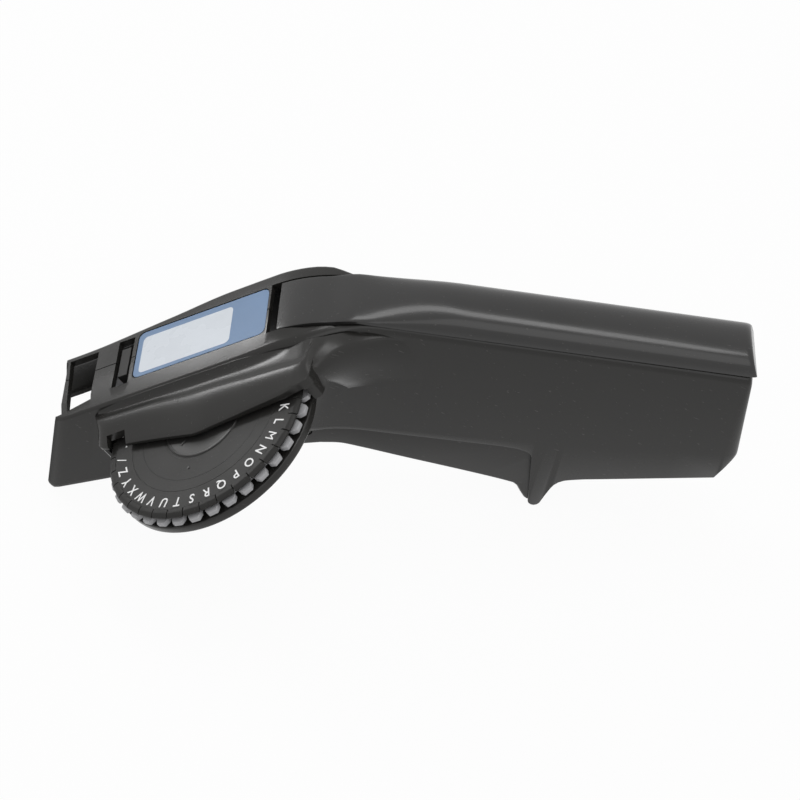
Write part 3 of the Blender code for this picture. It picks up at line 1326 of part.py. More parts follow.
# Stand the tool on its skirt and fin, with its box centred over the origin
stand_angle = math.atan2(fin_tip_low[1] - skirt_front[1], fin_tip_low[0] - skirt_front[0])
tool.rotation_euler = (0, stand_angle, 0)
bpy.context.view_layer.update()
graph = bpy.context.evaluated_depsgraph_get()
corners = []
for piece in parts.objects:
    shape = piece.evaluated_get(graph)
    corners += [shape.matrix_world @ vertex.co for vertex in shape.to_mesh().vertices]
    shape.to_mesh_clear()
low = Vector([min(corner[axis] for corner in corners) for axis in range(3)])
high = Vector([max(corner[axis] for corner in corners) for axis in range(3)])
tool.location = (-(low.x + high.x) / 2, -(low.y + high.y) / 2, -low.z)
bpy.context.view_layer.update()
print("size in mm:", [round(value / mm, 1) for value in high - low])
print("stand angle in degrees:", round(math.degrees(stand_angle), 2))
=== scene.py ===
# %% [markdown]
# # A label maker that presses letters into tape
# The real tool is a bent body of dark moulded plastic. A round wheel of characters sits
# on its side, a trigger hangs below, and a long cover closes the space for the tape.
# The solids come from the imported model. This lesson dresses them: it builds the letters,
# the fingers of the wheel and the smooth skins, and gives each surface its finish.

# %% Load the model
import math

import bmesh
import bpy
from mathutils import Matrix, Vector


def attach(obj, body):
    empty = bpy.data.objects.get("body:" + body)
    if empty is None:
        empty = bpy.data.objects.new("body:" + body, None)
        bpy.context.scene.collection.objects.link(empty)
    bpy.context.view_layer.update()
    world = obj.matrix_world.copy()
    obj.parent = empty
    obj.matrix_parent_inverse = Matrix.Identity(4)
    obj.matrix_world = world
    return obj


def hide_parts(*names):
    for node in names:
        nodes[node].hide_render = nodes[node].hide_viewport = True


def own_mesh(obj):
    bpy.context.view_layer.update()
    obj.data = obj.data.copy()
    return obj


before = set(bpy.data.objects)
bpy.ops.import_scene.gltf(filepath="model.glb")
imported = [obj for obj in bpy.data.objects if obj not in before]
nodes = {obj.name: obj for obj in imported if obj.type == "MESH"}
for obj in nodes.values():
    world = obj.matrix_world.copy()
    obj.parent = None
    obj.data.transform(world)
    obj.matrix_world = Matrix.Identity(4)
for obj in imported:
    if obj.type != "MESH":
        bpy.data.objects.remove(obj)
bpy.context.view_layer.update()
mm = 0.001


def new_object(name, data):
    made = bpy.data.objects.new(name, data)
    bpy.context.scene.collection.objects.link(made)
    return made


print("nodes in the model:", len(nodes))

# %% [markdown]
# The tool is drawn along its handle and its nose, but it stands on its skirt and fin, a
# little nose-up. Two frames make places easy to say: one along the handle and one at the
# centre of the wheel, which leans down with the nose by the angle of the bend.

# %% The frames of the handle and of the wheel
stand_angle = math.radians(5.5389)
bend_angle = math.radians(37.5)
handle_start = Vector((-11.9676, 23.0892, 77.6904)) * mm
wheel_place = Vector((-52.5670, -3.4108, 51.8319)) * mm
wheel_offset = 26.5

handle = Matrix.Translation(handle_start) @ Matrix.Rotation(stand_angle, 4, "Y")
wheel = Matrix.Translation(wheel_place) @ Matrix.Rotation(stand_angle - bend_angle, 4, "Y")
nose = wheel @ Matrix.Translation((0, wheel_offset * mm, 0))
print("the nose leans down by", round(math.degrees(bend_angle - stand_angle), 1), "degrees")

# %% [markdown]
# The stage is a plain pale floor, and the camera stands where the photographer stood,
# above the wheel's side and a little towards the nose. Its three directions and its place
# were found from the letters on the wheel, whose spacing is regular, so they are written
# in the wheel's own frame.

# %% Camera
camera_place = Vector((280.8, -370.4, 349.7)) * mm
camera_right = Vector((0.8724, 0.0533, -0.4859))
camera_down = Vector((-0.2827, -0.7558, -0.5906))
camera_ahead = Vector((-0.3987, 0.6526, -0.6443))
sensor = 36.0
focal_pixels = 2056.6
photo_pixels = 800

turn = Matrix((camera_right, -camera_down, -camera_ahead)).transposed().to_4x4()
camera_data = bpy.data.cameras.new("camera")
camera_data.sensor_width = sensor
camera_data.lens = sensor * focal_pixels / photo_pixels
camera_data.clip_start = 0.01
camera = new_object("camera", camera_data)
camera.matrix_world = wheel @ Matrix.Translation(camera_place) @ turn
bpy.context.scene.camera = camera
bpy.context.scene.view_settings.view_transform = "Standard"
print("lens", round(camera_data.lens, 1), "mm")

# %% [markdown]
# Soft light comes from three large lamps, as in a product photograph, and some from the
# world all round. The floor and the world look white to the camera and to reflections,
# but the world lights the object with little more than half of that, so the black
# plastic keeps its own tone.


# %% Helpers for nodes of a material
def node(tree, kind, **values):
    """A new node. Each value is a property, an input's value or a link to an input."""
    made = tree.nodes.new(kind)
    for name, value in values.items():
        if hasattr(made, name):
            setattr(made, name, value)
        elif isinstance(value, bpy.types.NodeSocket):
            tree.links.new(value, made.inputs[name])
        else:
            made.inputs[name].default_value = value
    return made


def math_node(tree, operation, first, second=0.5):
    made = tree.nodes.new("ShaderNodeMath")
    made.operation = operation
    for socket, value in zip(made.inputs, (first, second)):
        if isinstance(value, (int, float)):
            socket.default_value = value
        else:
            tree.links.new(value, socket)
    return made.outputs[0]


def seen_as(tree, share, dim, bright):
    """Two shaders mixed: the bright one is for the camera, reflections and glass."""
    path = tree.nodes.new("ShaderNodeLightPath")
    seen = math_node(tree, "MAXIMUM", path.outputs["Is Camera Ray"], path.outputs["Is Glossy Ray"])
    seen = math_node(tree, "MAXIMUM", seen, path.outputs["Is Transmission Ray"])
    pick = tree.nodes.new("ShaderNodeMixShader")
    tree.links.new(math_node(tree, "MULTIPLY", seen, share), pick.inputs[0])
    tree.links.new(dim.outputs[0], pick.inputs[1])
    tree.links.new(bright.outputs[0], pick.inputs[2])
    return pick.outputs[0]


# %% World and floor
world_light, floor_white, floor_reach = 0.55, 0.95, 3.0
world = bpy.data.worlds.new("studio")
world.use_nodes = True
bpy.context.scene.world = world
sky = world.node_tree
sky.nodes.clear()
plain = node(sky, "ShaderNodeBackground", Color=(1, 1, 1, 1), Strength=world_light)
white = node(sky, "ShaderNodeBackground", Color=(1, 1, 1, 1), Strength=1.0)
sky.links.new(seen_as(sky, 1.0, plain, white), sky.nodes.new("ShaderNodeOutputWorld").inputs[0])

floor_mesh = bpy.data.meshes.new("floor")
floor_mesh.from_pydata([(x * floor_reach, y * floor_reach, 0) for x, y in ((-1, -1), (1, -1), (1, 1), (-1, 1))],
                       [], [(0, 1, 2, 3)])
floor = new_object("floor", floor_mesh)
floor_paint = bpy.data.materials.new("floor")
floor_paint.use_nodes = True
floor_tree = floor_paint.node_tree
floor_shader = floor_tree.nodes["Principled BSDF"]
floor_shader.inputs["Base Color"].default_value = (0.8, 0.8, 0.8, 1)
floor_shader.inputs["Roughness"].default_value = 0.9
floor_shader.inputs["Specular IOR Level"].default_value = 0.0
floor_glow = node(floor_tree, "ShaderNodeEmission", Strength=1.0)
floor_tree.links.new(seen_as(floor_tree, floor_white, floor_shader, floor_glow),
                     floor_tree.nodes["Material Output"].inputs["Surface"])
floor_mesh.materials.append(floor_paint)


# %% Lamps
def lamp(name, place, target, size, power, height=None):
    data = bpy.data.lights.new(name, "AREA")
    data.shape = "RECTANGLE" if height else "DISK"
    data.size, data.size_y = size, height or size
    data.energy = power
    made = new_object(name, data)
    made.location = place
    made.rotation_euler = (Vector(target) - Vector(place)).to_track_quat("-Z", "Y").to_euler()


lamp("front_box", (-0.72, 0.50, 0.44), (0, 0, 0.04), 0.2, 1.5)
lamp("top_box", (0.12, 0.16, 1.0), (0.0, 0, 0.06), 0.9, 2.6, 0.2)
lamp("fill", (0.35, -0.75, 1.0), (0, 0, 0.04), 0.9, 1.8)

# %% [markdown]
# The body is a warm, dark grey plastic with a satin skin. Under strong light it shows
# fine dust and short hair scratches. Both come from noise on Object coordinates: a
# stretched noise makes the scratches, and a dense Voronoi makes the specks.


# %% Finish of the plastics
mottle_scale, speck_scale, patch_scale, hair_scale, grain_scale = 60.0, 1300.0, 210.0, 1500.0, 900.0
speck_size, patch_limit, hair_limit = 0.11, 0.63, 0.75
hair_stretch, hair_turn = (30, 0.8, 0.8), (0.2, 0.5, 0.3)
darker, lighter = 0.9, 1.12
rough_span = 0.16
dust_colour = (0.30, 0.29, 0.28)
grain_depth = 0.05 * mm


def new_paint(name):
    paint = bpy.data.materials.new(name)
    paint.use_nodes = True
    tree = paint.node_tree
    return paint, tree, tree.nodes["Principled BSDF"], tree.nodes.new("ShaderNodeTexCoord").outputs["Object"]


def noise(tree, spot, scale, detail):
    return node(tree, "ShaderNodeTexNoise", Scale=scale, Detail=detail, Vector=spot).outputs["Fac"]


def stretched(tree, spot, scale, turn=(0, 0, 0)):
    made = node(tree, "ShaderNodeMapping", vector_type="TEXTURE", Rotation=turn, Scale=scale, Vector=spot)
    return made.outputs[0]


def two_tones(tree, share, first, second):
    """A mix of two colours, each given as numbers or as another node's output."""
    made = node(tree, "ShaderNodeMix", data_type="RGBA")
    for socket, value in (("Factor", share), ("A", first), ("B", second)):
        if isinstance(value, tuple):
            made.inputs[socket].default_value = (*value, 1)
        else:
            tree.links.new(value, made.inputs[socket])
    return made.outputs["Result"]


def rough_by(tree, shader, share, span, middle):
    swing = math_node(tree, "MULTIPLY", share, span)
    tree.links.new(math_node(tree, "ADD", swing, middle - span / 2), shader.inputs["Roughness"])


def plastic(name, colour, roughness, dust=0.2, scratches=0.1, coat=0.0, grain=0.02, specular=0.4):
    paint, tree, shader, spot = new_paint(name)
    cloud = noise(tree, spot, mottle_scale, 4.0)
    specks = node(tree, "ShaderNodeTexVoronoi", Scale=speck_scale, Vector=spot)
    speck = math_node(tree, "LESS_THAN", specks.outputs["Distance"], speck_size)
    chosen = math_node(tree, "GREATER_THAN", noise(tree, spot, patch_scale, 2.0), patch_limit)
    dusty = math_node(tree, "MULTIPLY", math_node(tree, "MULTIPLY", speck, chosen), dust)
    hairs = noise(tree, stretched(tree, spot, hair_stretch, hair_turn), hair_scale, 1.0)
    scratched = math_node(tree, "MULTIPLY", math_node(tree, "GREATER_THAN", hairs, hair_limit), scratches)
    tone = two_tones(tree, cloud, tuple(c * darker for c in colour), tuple(c * lighter for c in colour))
    marked = two_tones(tree, math_node(tree, "MAXIMUM", dusty, scratched), tone, dust_colour)
    tree.links.new(marked, shader.inputs["Base Color"])
    rough_by(tree, shader, cloud, rough_span, roughness)
    shader.inputs["Specular IOR Level"].default_value = specular
    shader.inputs["Coat Weight"].default_value = coat
    shader.inputs["Coat Roughness"].default_value = 0.12
    bump = node(tree, "ShaderNodeBump", Strength=grain * 10, Distance=grain_depth,
                Height=noise(tree, spot, grain_scale, 3.0))
    tree.links.new(bump.outputs[0], shader.inputs["Normal"])
    return paint


def paint_nodes(paint, *names):
    for name in names:
        mesh = nodes[name].data
        mesh.materials.clear()
        mesh.materials.append(paint)


satin_black = plastic("satin_black", (0.0185, 0.0178, 0.0165), 0.24, specular=0.32)
glossy_black = plastic("glossy_black", (0.020, 0.0195, 0.019), 0.24, dust=0.15, coat=0.3, specular=0.3)
trigger_black = plastic("trigger_black", (0.019, 0.018, 0.017), 0.34)
wheel_black = plastic("wheel_black", (0.020, 0.0195, 0.0185), 0.42, dust=0.15, grain=0.05, specular=0.2)
hub_black = plastic("hub_black", (0.022, 0.0215, 0.0205), 0.3, specular=0.3)
paint_nodes(satin_black, "left_shell", "right_shell", "wheel_guard")
paint_nodes(glossy_black, "top_cover")
paint_nodes(trigger_black, "trigger")
paint_nodes(wheel_black, "upper_disc", "wheel_hub", "cutter_holder")
print("finishes so far:", len(bpy.data.materials))

# %% [markdown]
# The teeth under the fingers are pale plastic. The name plate is a thin foil, printed
# blue, with a pale field in it. Nothing is written on it here.


# %% Pale plastic, foil and steel
pale_grey = plastic("pale_grey", (0.36, 0.36, 0.37), 0.4, dust=0.05, scratches=0.0)
paint_nodes(pale_grey, "lower_disc", "tape_guide", "tape_cradle", "pressure_roller", "hub_ring")
white_parts = plastic("white_parts", (0.62, 0.62, 0.60), 0.45, dust=0.05, scratches=0.0)
paint_nodes(white_parts, "push_block", "ratchet_wheel", "disc_spacer")
foil_blue = plastic("foil_blue", (0.115, 0.205, 0.355), 0.3, dust=0.1, scratches=0.12)
paint_nodes(foil_blue, "name_plate")
soft_rubber = plastic("soft_rubber", (0.03, 0.03, 0.03), 0.8, dust=0.2, scratches=0.0, grain=0.06)
paint_nodes(soft_rubber, "feed_roller")


def metal(name, colour, roughness):
    paint, tree, shader, spot = new_paint(name)
    shader.inputs["Metallic"].default_value = 1.0
    drawn = noise(tree, stretched(tree, spot, (20, 1, 1)), 1600.0, 2.0)
    tone = two_tones(tree, drawn, tuple(c * 0.8 for c in colour), colour)
    tree.links.new(tone, shader.inputs["Base Color"])
    rough_by(tree, shader, drawn, 0.2, roughness)
    return paint


drawn_steel = metal("drawn_steel", (0.55, 0.55, 0.54), 0.35)
ground_steel = metal("ground_steel", (0.68, 0.68, 0.68), 0.22)
steel_names = [name for name, made in nodes.items() if made.data.materials[0].name.startswith("steel")]
paint_nodes(drawn_steel, *steel_names)
paint_nodes(ground_steel, "cutter_blade")
# The trigger's pin gets a near-black steel: painted shade, so that it shows no bright reflection of the floor under
# the skirt.
painted_shade_steel = metal("painted_shade_steel", (0.05, 0.05, 0.048), 0.4)
paint_nodes(painted_shade_steel, "trigger_pin")
print("steel pieces:", len(steel_names))

# %% [markdown]
# The skins of the body are drawn in the tool's own frame, in millimetres, and only go to
# their place in the world at the end. The top line is straight along the nose, round in
# the bend and straight again along the handle, so a place is said by its run along it.

# %% The top line of the tool
bend_radius = 38.0
wheel_to_bend = 25.0
wheel_below_top = 8.3
handle_length = 114.0
nose_length = 48.3
bend_run = bend_radius * bend_angle
front_run = -(nose_length + wheel_to_bend)
nose_along = Vector((math.cos(bend_angle), 0, math.sin(bend_angle)))
nose_up = Vector((-math.sin(bend_angle), 0, math.cos(bend_angle)))
bend_centre = Vector((0, 0, -bend_radius))
bend_start = bend_centre + bend_radius * nose_up
wheel_centre = bend_start - wheel_to_bend * nose_along - wheel_below_top * nose_up
nose_place = Matrix.Translation(wheel_centre) @ Matrix.Rotation(-bend_angle, 4, "Y")
wheel_spot = nose_place @ Matrix.Translation((0, -wheel_offset, 0))
in_metres = Matrix.Diagonal((mm, mm, mm, 1))


def top_line(run):
    if run <= 0:
        return bend_start + run * nose_along, nose_up
    if run < bend_run:
        angle = bend_angle - run / bend_radius
        normal = Vector((-math.sin(angle), 0, math.cos(angle)))
        return bend_centre + bend_radius * normal, normal
    return Vector((run - bend_run, 0, 0)), Vector((0, 0, 1))


nose_front = top_line(front_run)[0]
print("the top line is", round(bend_run + handle_length - front_run, 1), "mm long")

# %% [markdown]
# Widths, edges and levels change along the tool. Each is a short table of places and
# values. Moulded plastic has no kinks, so the values between the rows follow a curve that
# keeps its slope through a row and never swings past it.


# %% Reading a table smoothly
def blend(start, end, share):
    return start + (end - start) * share


def spoke(radius, turn):
    return radius * math.cos(turn), radius * math.sin(turn)


def ease(share):
    share = min(max(share, 0.0), 1.0)
    return share * share * (3 - 2 * share)


def along(table, place):
    if place <= table[0][0]:
        return table[0][1]
    if place >= table[-1][0]:
        return table[-1][1]
    steps = [(b[1] - a[1]) / (b[0] - a[0]) for a, b in zip(table, table[1:])]
    row = next(i for i in range(len(steps)) if place <= table[i + 1][0])
    slopes = []
    for i in (row, row + 1):
        before, after = (steps[i - 1] if i > 0 else 0), (steps[i] if i < len(steps) else 0)
        slopes.append(2 * before * after / (before + after) if before * after > 0 else 0)
    span = table[row + 1][0] - table[row][0]
    t = (place - table[row][0]) / span
    return (table[row][1] * (1 + 2 * t) * (1 - t) ** 2 + slopes[0] * span * t * (1 - t) ** 2
            + table[row + 1][1] * t * t * (3 - 2 * t) - slopes[1] * span * t * t * (1 - t))


def straight(points, place):
    if place <= points[0][0]:
        return points[0][1]
    for (here, low), (there, high) in zip(points, points[1:]):
        if place <= there:
            return blend(low, high, (place - here) / (there - here))
    return points[-1][1]


# %% Tables of the body
half_width, cover_half_width = 9.25, 9.0
near_width, far_width, far_tip_width = 14.5, 13.6, 9.4
clearance, side_wall, nose_wall = 0.3, 1.8, 1.6
near_widths = [(front_run, 13.6), (0.95 * front_run, near_width), (0.45 * bend_run, near_width)]
near_widths += [(share * bend_run, blend(half_width, near_width, part))
                for share, part in ((0.66, 0.78), (0.83, 0.45), (1, 0.17), (1.25, 0.04), (1.6, 0))]
far_widths = [(front_run, far_tip_width), (0.5 * front_run, 11.9), (0.2 * front_run, far_width),
              (0.45 * bend_run, far_width)]
far_widths += [(share * bend_run, blend(half_width, far_width, part))
               for share, part in ((0.68, 0.9), (0.84, 0.6), (1, 0.32), (1.25, 0.08), (1.6, 0))]
near_edges = [(0.3 * front_run, 1.2), (0.3 * bend_run, 2.7), (0.6 * bend_run, 4.2),
              (0.85 * bend_run, 3.6), (bend_run, 2.6)]
far_edges = [(front_run, 1.2), (0.8 * front_run, 1.6), (0, 1.3), (0.7 * bend_run, 1.3),
             (1.25 * bend_run, 2.6)]
near_sinks = [(0.1 * bend_run, 0), (0.45 * bend_run, 1.2), (0.85 * bend_run, 1.2), (1.2 * bend_run, 0)]
near_drops = [(0.3 * bend_run, 1.2), (0.8 * bend_run, 0)]
top_walls = [(0, 2.3), (0.1 * bend_run, 2.6), (0.9 * bend_run, 2.6), (1.1 * bend_run, 2.3)]
crease_line = [(-7, -45.6), (1.4, -44), (19, -42.4), (48.6, -40.8), (61.8, -39.5), (84, -38),
               (118.2, -33.8)]
skirt_front, skirt_back, skirt_corner, skirt_lean = (-80.9, -85.9), (-7.0, -47.9), 2.2, 2.0
far_wall_depth, far_wall_end, far_wall_foot = 16.6, (-40.0, -38.2), (-31.8, -57.3)
lip_line = [(-7, -47.9), (-2.2, -46.7), (1.6, -46.0), (7.5, -45.4), (13.5, -45.3), (40.3, -44.6),
            (49.3, -44.4), (54.1, -44.6), (56.9, -45.3)]
recess_line = [(1.25 * bend_run, 1.8, -46.0), (1.6 * bend_run, 13.2, -45.3), (bend_run + 60.4, 60.4, -44.6)]
fin_line = [(58.2, -46.0), (58.9, -46.9), (59.3, -48.0), (62.3, -69.0), (62.5, -70.2), (62.9, -71.1),
            (63.7, -71.7), (64.6, -71.8), (65.5, -71.3), (66.1, -70.3), (67.0, -66.0), (67.9, -62.2),
            (68.6, -60.2), (69.7, -58.6), (71.2, -57.4), (73.2, -56.6), (76.6, -55.5)]
fin_front, fin_back = 60.3, 76.6
belly_line = [(64, -57.2), (76.6, -55.5), (114.3, -46.1)]
rear_corner = (118.4, -34.4)
rear_top = (114.0, -1.6)
rear_lead, rear_round = 1.9, 1.6
side_draft = math.tan(math.radians(2.8))
print("half width of the nose and the handle:", near_width, half_width, "mm")

# %% [markdown]
# A half of the body is a loft: many sections, each a closed line that runs down the outer
# side and back inside the parting plane. The photograph shows a large round edge on the
# bend, a crease low on the handle with a slight draft below it, and a rounded lower rim.


# %% Sections of a half body
def between(first, last, share):
    return tuple(blend(a, b, share) for a, b in zip(first, last))


def columns_of(near, inside):
    """Rows of (run, top, bottom) from the nose to the rear; the hollow leaves out the fin."""
    rows = []
    if near:
        for step in range(7):
            turn = math.radians(15 * step)
            rows.append((front_run + skirt_corner * (1 - math.cos(turn)), None,
                         (skirt_front[0] - skirt_lean * math.cos(turn),
                          skirt_front[1] + skirt_corner * (1 - math.sin(turn)))))
        first = front_run + skirt_corner
        rows += [(blend(first, bend_run, step / 48), None, between(skirt_front, skirt_back, step / 48))
                 for step in range(1, 49)]
    else:
        wall_end = blend(front_run, 0, 0.6)
        marks = [(front_run, (nose_front.x, nose_front.z - far_wall_depth)), (wall_end, far_wall_end),
                 (wall_end - 0.12 * front_run, far_wall_foot)]
        foot = (far_wall_foot[0] - skirt_front[0]) / (skirt_back[0] - skirt_front[0])
        first = wall_end - 0.3 * front_run
        marks += [(blend(first, bend_run, share), between(skirt_front, skirt_back, blend(foot, 1, share)))
                  for share in (0.2, 0.4, 0.55, 0.7, 0.85, 1)]
        for (here, low), (there, high) in zip(marks, marks[1:]):
            count = max(2, int((there - here) / 2))
            rows += [(blend(here, there, i / count), None, between(low, high, i / count)) for i in range(count)]
        rows.append((marks[-1][0], None, marks[-1][1]))
    if inside:
        rows += [(run, None, tuple(low)) for run, *low in recess_line]
        rows.append((bend_run + belly_line[0][0], None, belly_line[0]))
    else:
        lip_start, lip_end = lip_line[0][0], lip_line[-1][0]
        for share in (step / 26 for step in range(1, 27)):
            place = blend(lip_start, lip_end, share)
            rows.append((bend_run + blend(0, lip_end, share), None, (place, along(lip_line, place))))
        rows += [(bend_run + low[0], None, low) for low in fin_line]
    rows += [(bend_run + x, None, (x, straight(belly_line, x))) for x in (77.2, 88.0, 100.0)]
    rear_first = handle_length - rear_lead
    for step in range(9):
        share = 1 - (1 - step / 8) ** 1.6
        top = Vector((blend(rear_first, rear_top[0], share), 0, blend(0, rear_top[1], share ** 3)))
        rows.append((bend_run + blend(rear_first, handle_length, share), top,
                     between(belly_line[-1], rear_corner, share)))
    return rows


def section(top, bottom, width, edge, sink, drop, crease, taper, side, inner, turns, foot):
    down = (bottom - top).normalized()
    depth = (bottom - top).length
    rail = min(cover_half_width + clearance, width - edge - clearance)
    sketch = [(sink, inner), (sink, rail)]
    for step in range(turns + 1):
        turn = math.pi / 2 * (1 - step / turns)
        sketch.append((max(sink, drop) + edge * (1 - math.sin(turn)), width - edge + edge * math.cos(turn)))
    sketch.append((depth - crease, width))
    if foot:
        sketch.append((depth - foot, width - taper))
        sketch.append((depth - foot * 0.5, width - taper - foot * 0.14))
        sketch.append((depth - foot * 0.14, width - taper - foot * 0.5))
        sketch.append((depth, width - taper - foot))
    else:
        sketch.append((depth, width - taper))
    sketch.append((depth, inner))
    return [top + down * low + Vector((0, side * out, 0)) for low, out in sketch]


def half_body(side, inside=False):
    near = side < 0
    widths, edges = (near_widths, near_edges) if near else (far_widths, far_edges)
    rings = []
    for run, top, low in columns_of(near, inside):
        bottom = Vector((low[0], 0, low[1]))
        top = top or top_line(run)[0]
        wall = 0
        width = along(widths, run)
        rear = bend_run + handle_length - run
        if inside:
            wall = nose_wall if run < bend_run / 2 else side_wall
            if not rings:
                top, bottom = top - nose_along * 6, bottom - nose_along * 6
            down = (bottom - top).normalized()
            top = top + down * along(top_walls, run)
            bottom = bottom - down * side_wall
            place = run - bend_run
            if fin_front <= place < fin_back:
                top.x += side_wall
                bottom.x += side_wall
            if place > fin_back:
                share = min((place - fin_back) / (handle_length - fin_back), 1)
                top.x -= side_wall * share
                bottom.x -= side_wall * share
        elif rear < rear_round:
            width -= rear_round - math.sqrt(max(rear_round ** 2 - (rear_round - rear) ** 2, 0))
        crease, taper = 2.0, 0
        if run > bend_run:
            crease = max(along(crease_line, bottom.x) - bottom.z, 1.6)
            taper = crease * side_draft
        edge = min(along(edges, run), width / 3)
        sink, drop = (along(near_sinks, run), along(near_drops, run)) if near and not inside else (0, 0)
        inner, turns, foot = (-3.0, 3, 0) if inside else (-1.5, 8, 1.0)
        rings.append(section(top, bottom, width - wall, edge, sink, drop, crease, taper, side, inner, turns, foot))
    return rings


# %% From sections to a mesh
merge_distance = 0.002
add, cut = "UNION", "DIFFERENCE"


def make_mesh(name, bm, merge=merge_distance):
    bmesh.ops.remove_doubles(bm, verts=bm.verts, dist=merge)
    bmesh.ops.recalc_face_normals(bm, faces=bm.faces)
    mesh = bpy.data.meshes.new(name)
    bm.to_mesh(mesh)
    bm.free()
    return mesh


def loft(name, rings, place=None):
    bm = bmesh.new()
    rows = [[bm.verts.new(place @ point if place else point) for point in ring] for ring in rings]
    count = len(rings[0])
    for here, there in zip(rows, rows[1:]):
        for i in range(count):
            bm.faces.new((here[i], here[(i + 1) % count], there[(i + 1) % count], there[i]))
    bm.faces.new(list(reversed(rows[0])))
    bm.faces.new(rows[-1])
    bmesh.ops.remove_doubles(bm, verts=bm.verts, dist=merge_distance)
    bmesh.ops.triangulate(bm, faces=[f for f in bm.faces if len(f.verts) > 4])
    return make_mesh(name, bm)


def inset(outline, depth):
    """The outline moved inwards by a depth, for a loop that runs counterclockwise."""
    moved = []
    count = len(outline)
    for i in range(count):
        before, here, after = Vector(outline[i - 1]), Vector(outline[i]), Vector(outline[(i + 1) % count])
        first, second = (here - before).normalized(), (after - here).normalized()
        bisector = Vector((-first.y - second.y, first.x + second.x))
        if bisector.length < 1e-6:
            moved.append(tuple(here))
            continue
        bisector.normalize()
        reach = depth / max(bisector.dot(Vector((-first.y, first.x))), 0.5)
        moved.append(tuple(here + bisector * reach))
    return moved


def rim(radius, level, way, steps):
    """Pairs of (level, depth) round one rim of a slab, from its side inwards."""
    if not radius:
        return [(level, 0)]
    turns = [math.pi / 2 * step / steps for step in range(steps + 1)]
    return [(level + way * radius * (1 - math.sin(turn)), radius * (1 - math.cos(turn))) for turn in turns]


def slab(name, outline, low, high, plane="XY", round_low=0.0, round_high=0.0, place=None, steps=3):
    """A plate between two levels, with rounded rims where asked."""
    area = sum(a[0] * b[1] - b[0] * a[1] for a, b in zip(outline, outline[1:] + outline[:1]))
    if area < 0:
        outline = list(reversed(outline))
    ordered = rim(round_low, low, 1, steps)[::-1] + rim(round_high, high, -1, steps)
    rings = []
    for level, depth in ordered:
        ring = []
        for across, up in inset(outline, depth) if depth else outline:
            ring.append(Vector((across, level, up)) if plane == "XZ" else Vector((across, up, level)))
        rings.append(ring)
    return loft(name, rings, place)


def round_bar(radius, low, high, axis="Y", centre=(0, 0), sides=32, place=None):
    rings = []
    for level in (low, high):
        ring = []
        for step in range(sides):
            a, b = spoke(radius, 2 * math.pi * step / sides)
            ring.append(Vector((centre[0] + a, level, centre[1] + b)) if axis == "Y"
                        else Vector((centre[0] + a, centre[1] + b, level)))
        rings.append(ring)
    return loft("bar", rings, place)


def block(low, high, place=None):
    (a, b, c), (d, e, f) = low, high
    face = ((b, c), (e, c), (e, f), (b, f))
    return loft("block", [[Vector((x, y, z)) for y, z in face] for x in (a, d)], place)


def joined(meshes):
    """One mesh of several that don't touch."""
    bm = bmesh.new()
    for mesh in meshes:
        bm.from_mesh(mesh)
    return make_mesh("joined", bm, 0)


def evaluated(work, helpers=()):
    """The mesh of an object as its modifiers leave it; the object and its helpers go."""
    result = bpy.data.meshes.new_from_object(work.evaluated_get(bpy.context.evaluated_depsgraph_get()))
    for made in (*helpers, work):
        bpy.data.objects.remove(made, do_unlink=True)
    return result


def carve(name, base, steps):
    """The base with each step's mesh added to it or cut from it, in order."""
    work = new_object(name, base)
    helpers = []
    for index, (operation, mesh) in enumerate(steps):
        helpers.append(new_object(f"{name}_step_{index}", mesh))
        tool = work.modifiers.new(f"step_{index}", "BOOLEAN")
        tool.operation, tool.solver, tool.object = operation, "EXACT", helpers[-1]
        work.modifiers.new(f"weld_{index}", "WELD").merge_threshold = merge_distance
    return evaluated(work, helpers)


def smooth_shading(mesh, degrees=28):
    mesh.shade_smooth()
    mesh.set_sharp_from_angle(angle=math.radians(degrees))


print("mesh helpers are ready")

# %% [markdown]
# The upper jaw is the shelf that leans out over the wheel. Its plan is a table: a place on
# its lower edge, one on its ridge, and the ridge's level. Each section rises from a thin
# lip over a sloping face to a broad ridge, and dips before the nose wall. Two upright
# brackets close its ends, and the side of the body sweeps out to the rear one.

# %% The jaw over the wheel
jaw_plan = [((-36.9, 11.6), (-36.4, 11.9), 4.7), ((-36.1, 8.0), (-35.3, 9.6), 5.0),
            ((-35.4, 4.4), (-34.0, 8.6), 5.2), ((-34.2, 0.8), (-31.8, 8.2), 5.3),
            ((-25.1, -0.9), (-24.0, 7.9), 5.3), ((-14.4, -3.0), (-14.4, 7.4), 5.3),
            ((-5.6, -4.9), (-5.4, 6.4), 5.3), ((-1.8, -5.7), (-0.5, 6.2), 5.3),
            ((1.2, -5.7), (2.5, 6.1), 5.3), ((3.9, -5.3), (6.5, 6.0), 5.3),
            ((17.5, -4.1), (18.2, 5.2), 5.3), ((28.8, -3.0), (28.8, 4.6), 5.3),
            ((32.6, -2.0), (32.4, 4.3), 5.3), ((35.0, -1.5), (34.4, 4.7), 5.15),
            ((36.5, -0.3), (35.3, 5.4), 5.0), ((37.1, 1.8), (35.9, 6.6), 4.9),
            ((37.5, 5.0), (36.4, 8.6), 4.8), ((37.9, 8.4), (36.9, 10.3), 4.7),
            ((38.2, 11.4), (37.4, 11.6), 4.6)]
lip_tops = [(2.0, 2.4), (17.5, 2.9), (28.8, 3.4), (32.6, 3.8)]
wall_tops = [(-37.0, 5.1), (-34.5, 5.6), (-31.0, 6.3), (-25.0, 6.9), (-18.0, 7.0), (12.0, 7.0),
             (18.0, 6.6), (24.0, 5.9), (30.0, 5.05), (36.0, 4.3)]
lip_rises = [(0, -0.35), (0.01, -0.1), (0.035, 0.06)]
face_rises = [(0.15, 0.18), (0.3, 0.36), (0.5, 0.6), (0.65, 0.765), (0.78, 0.885), (0.88, 0.955),
              (0.95, 0.988), (1, 1)]
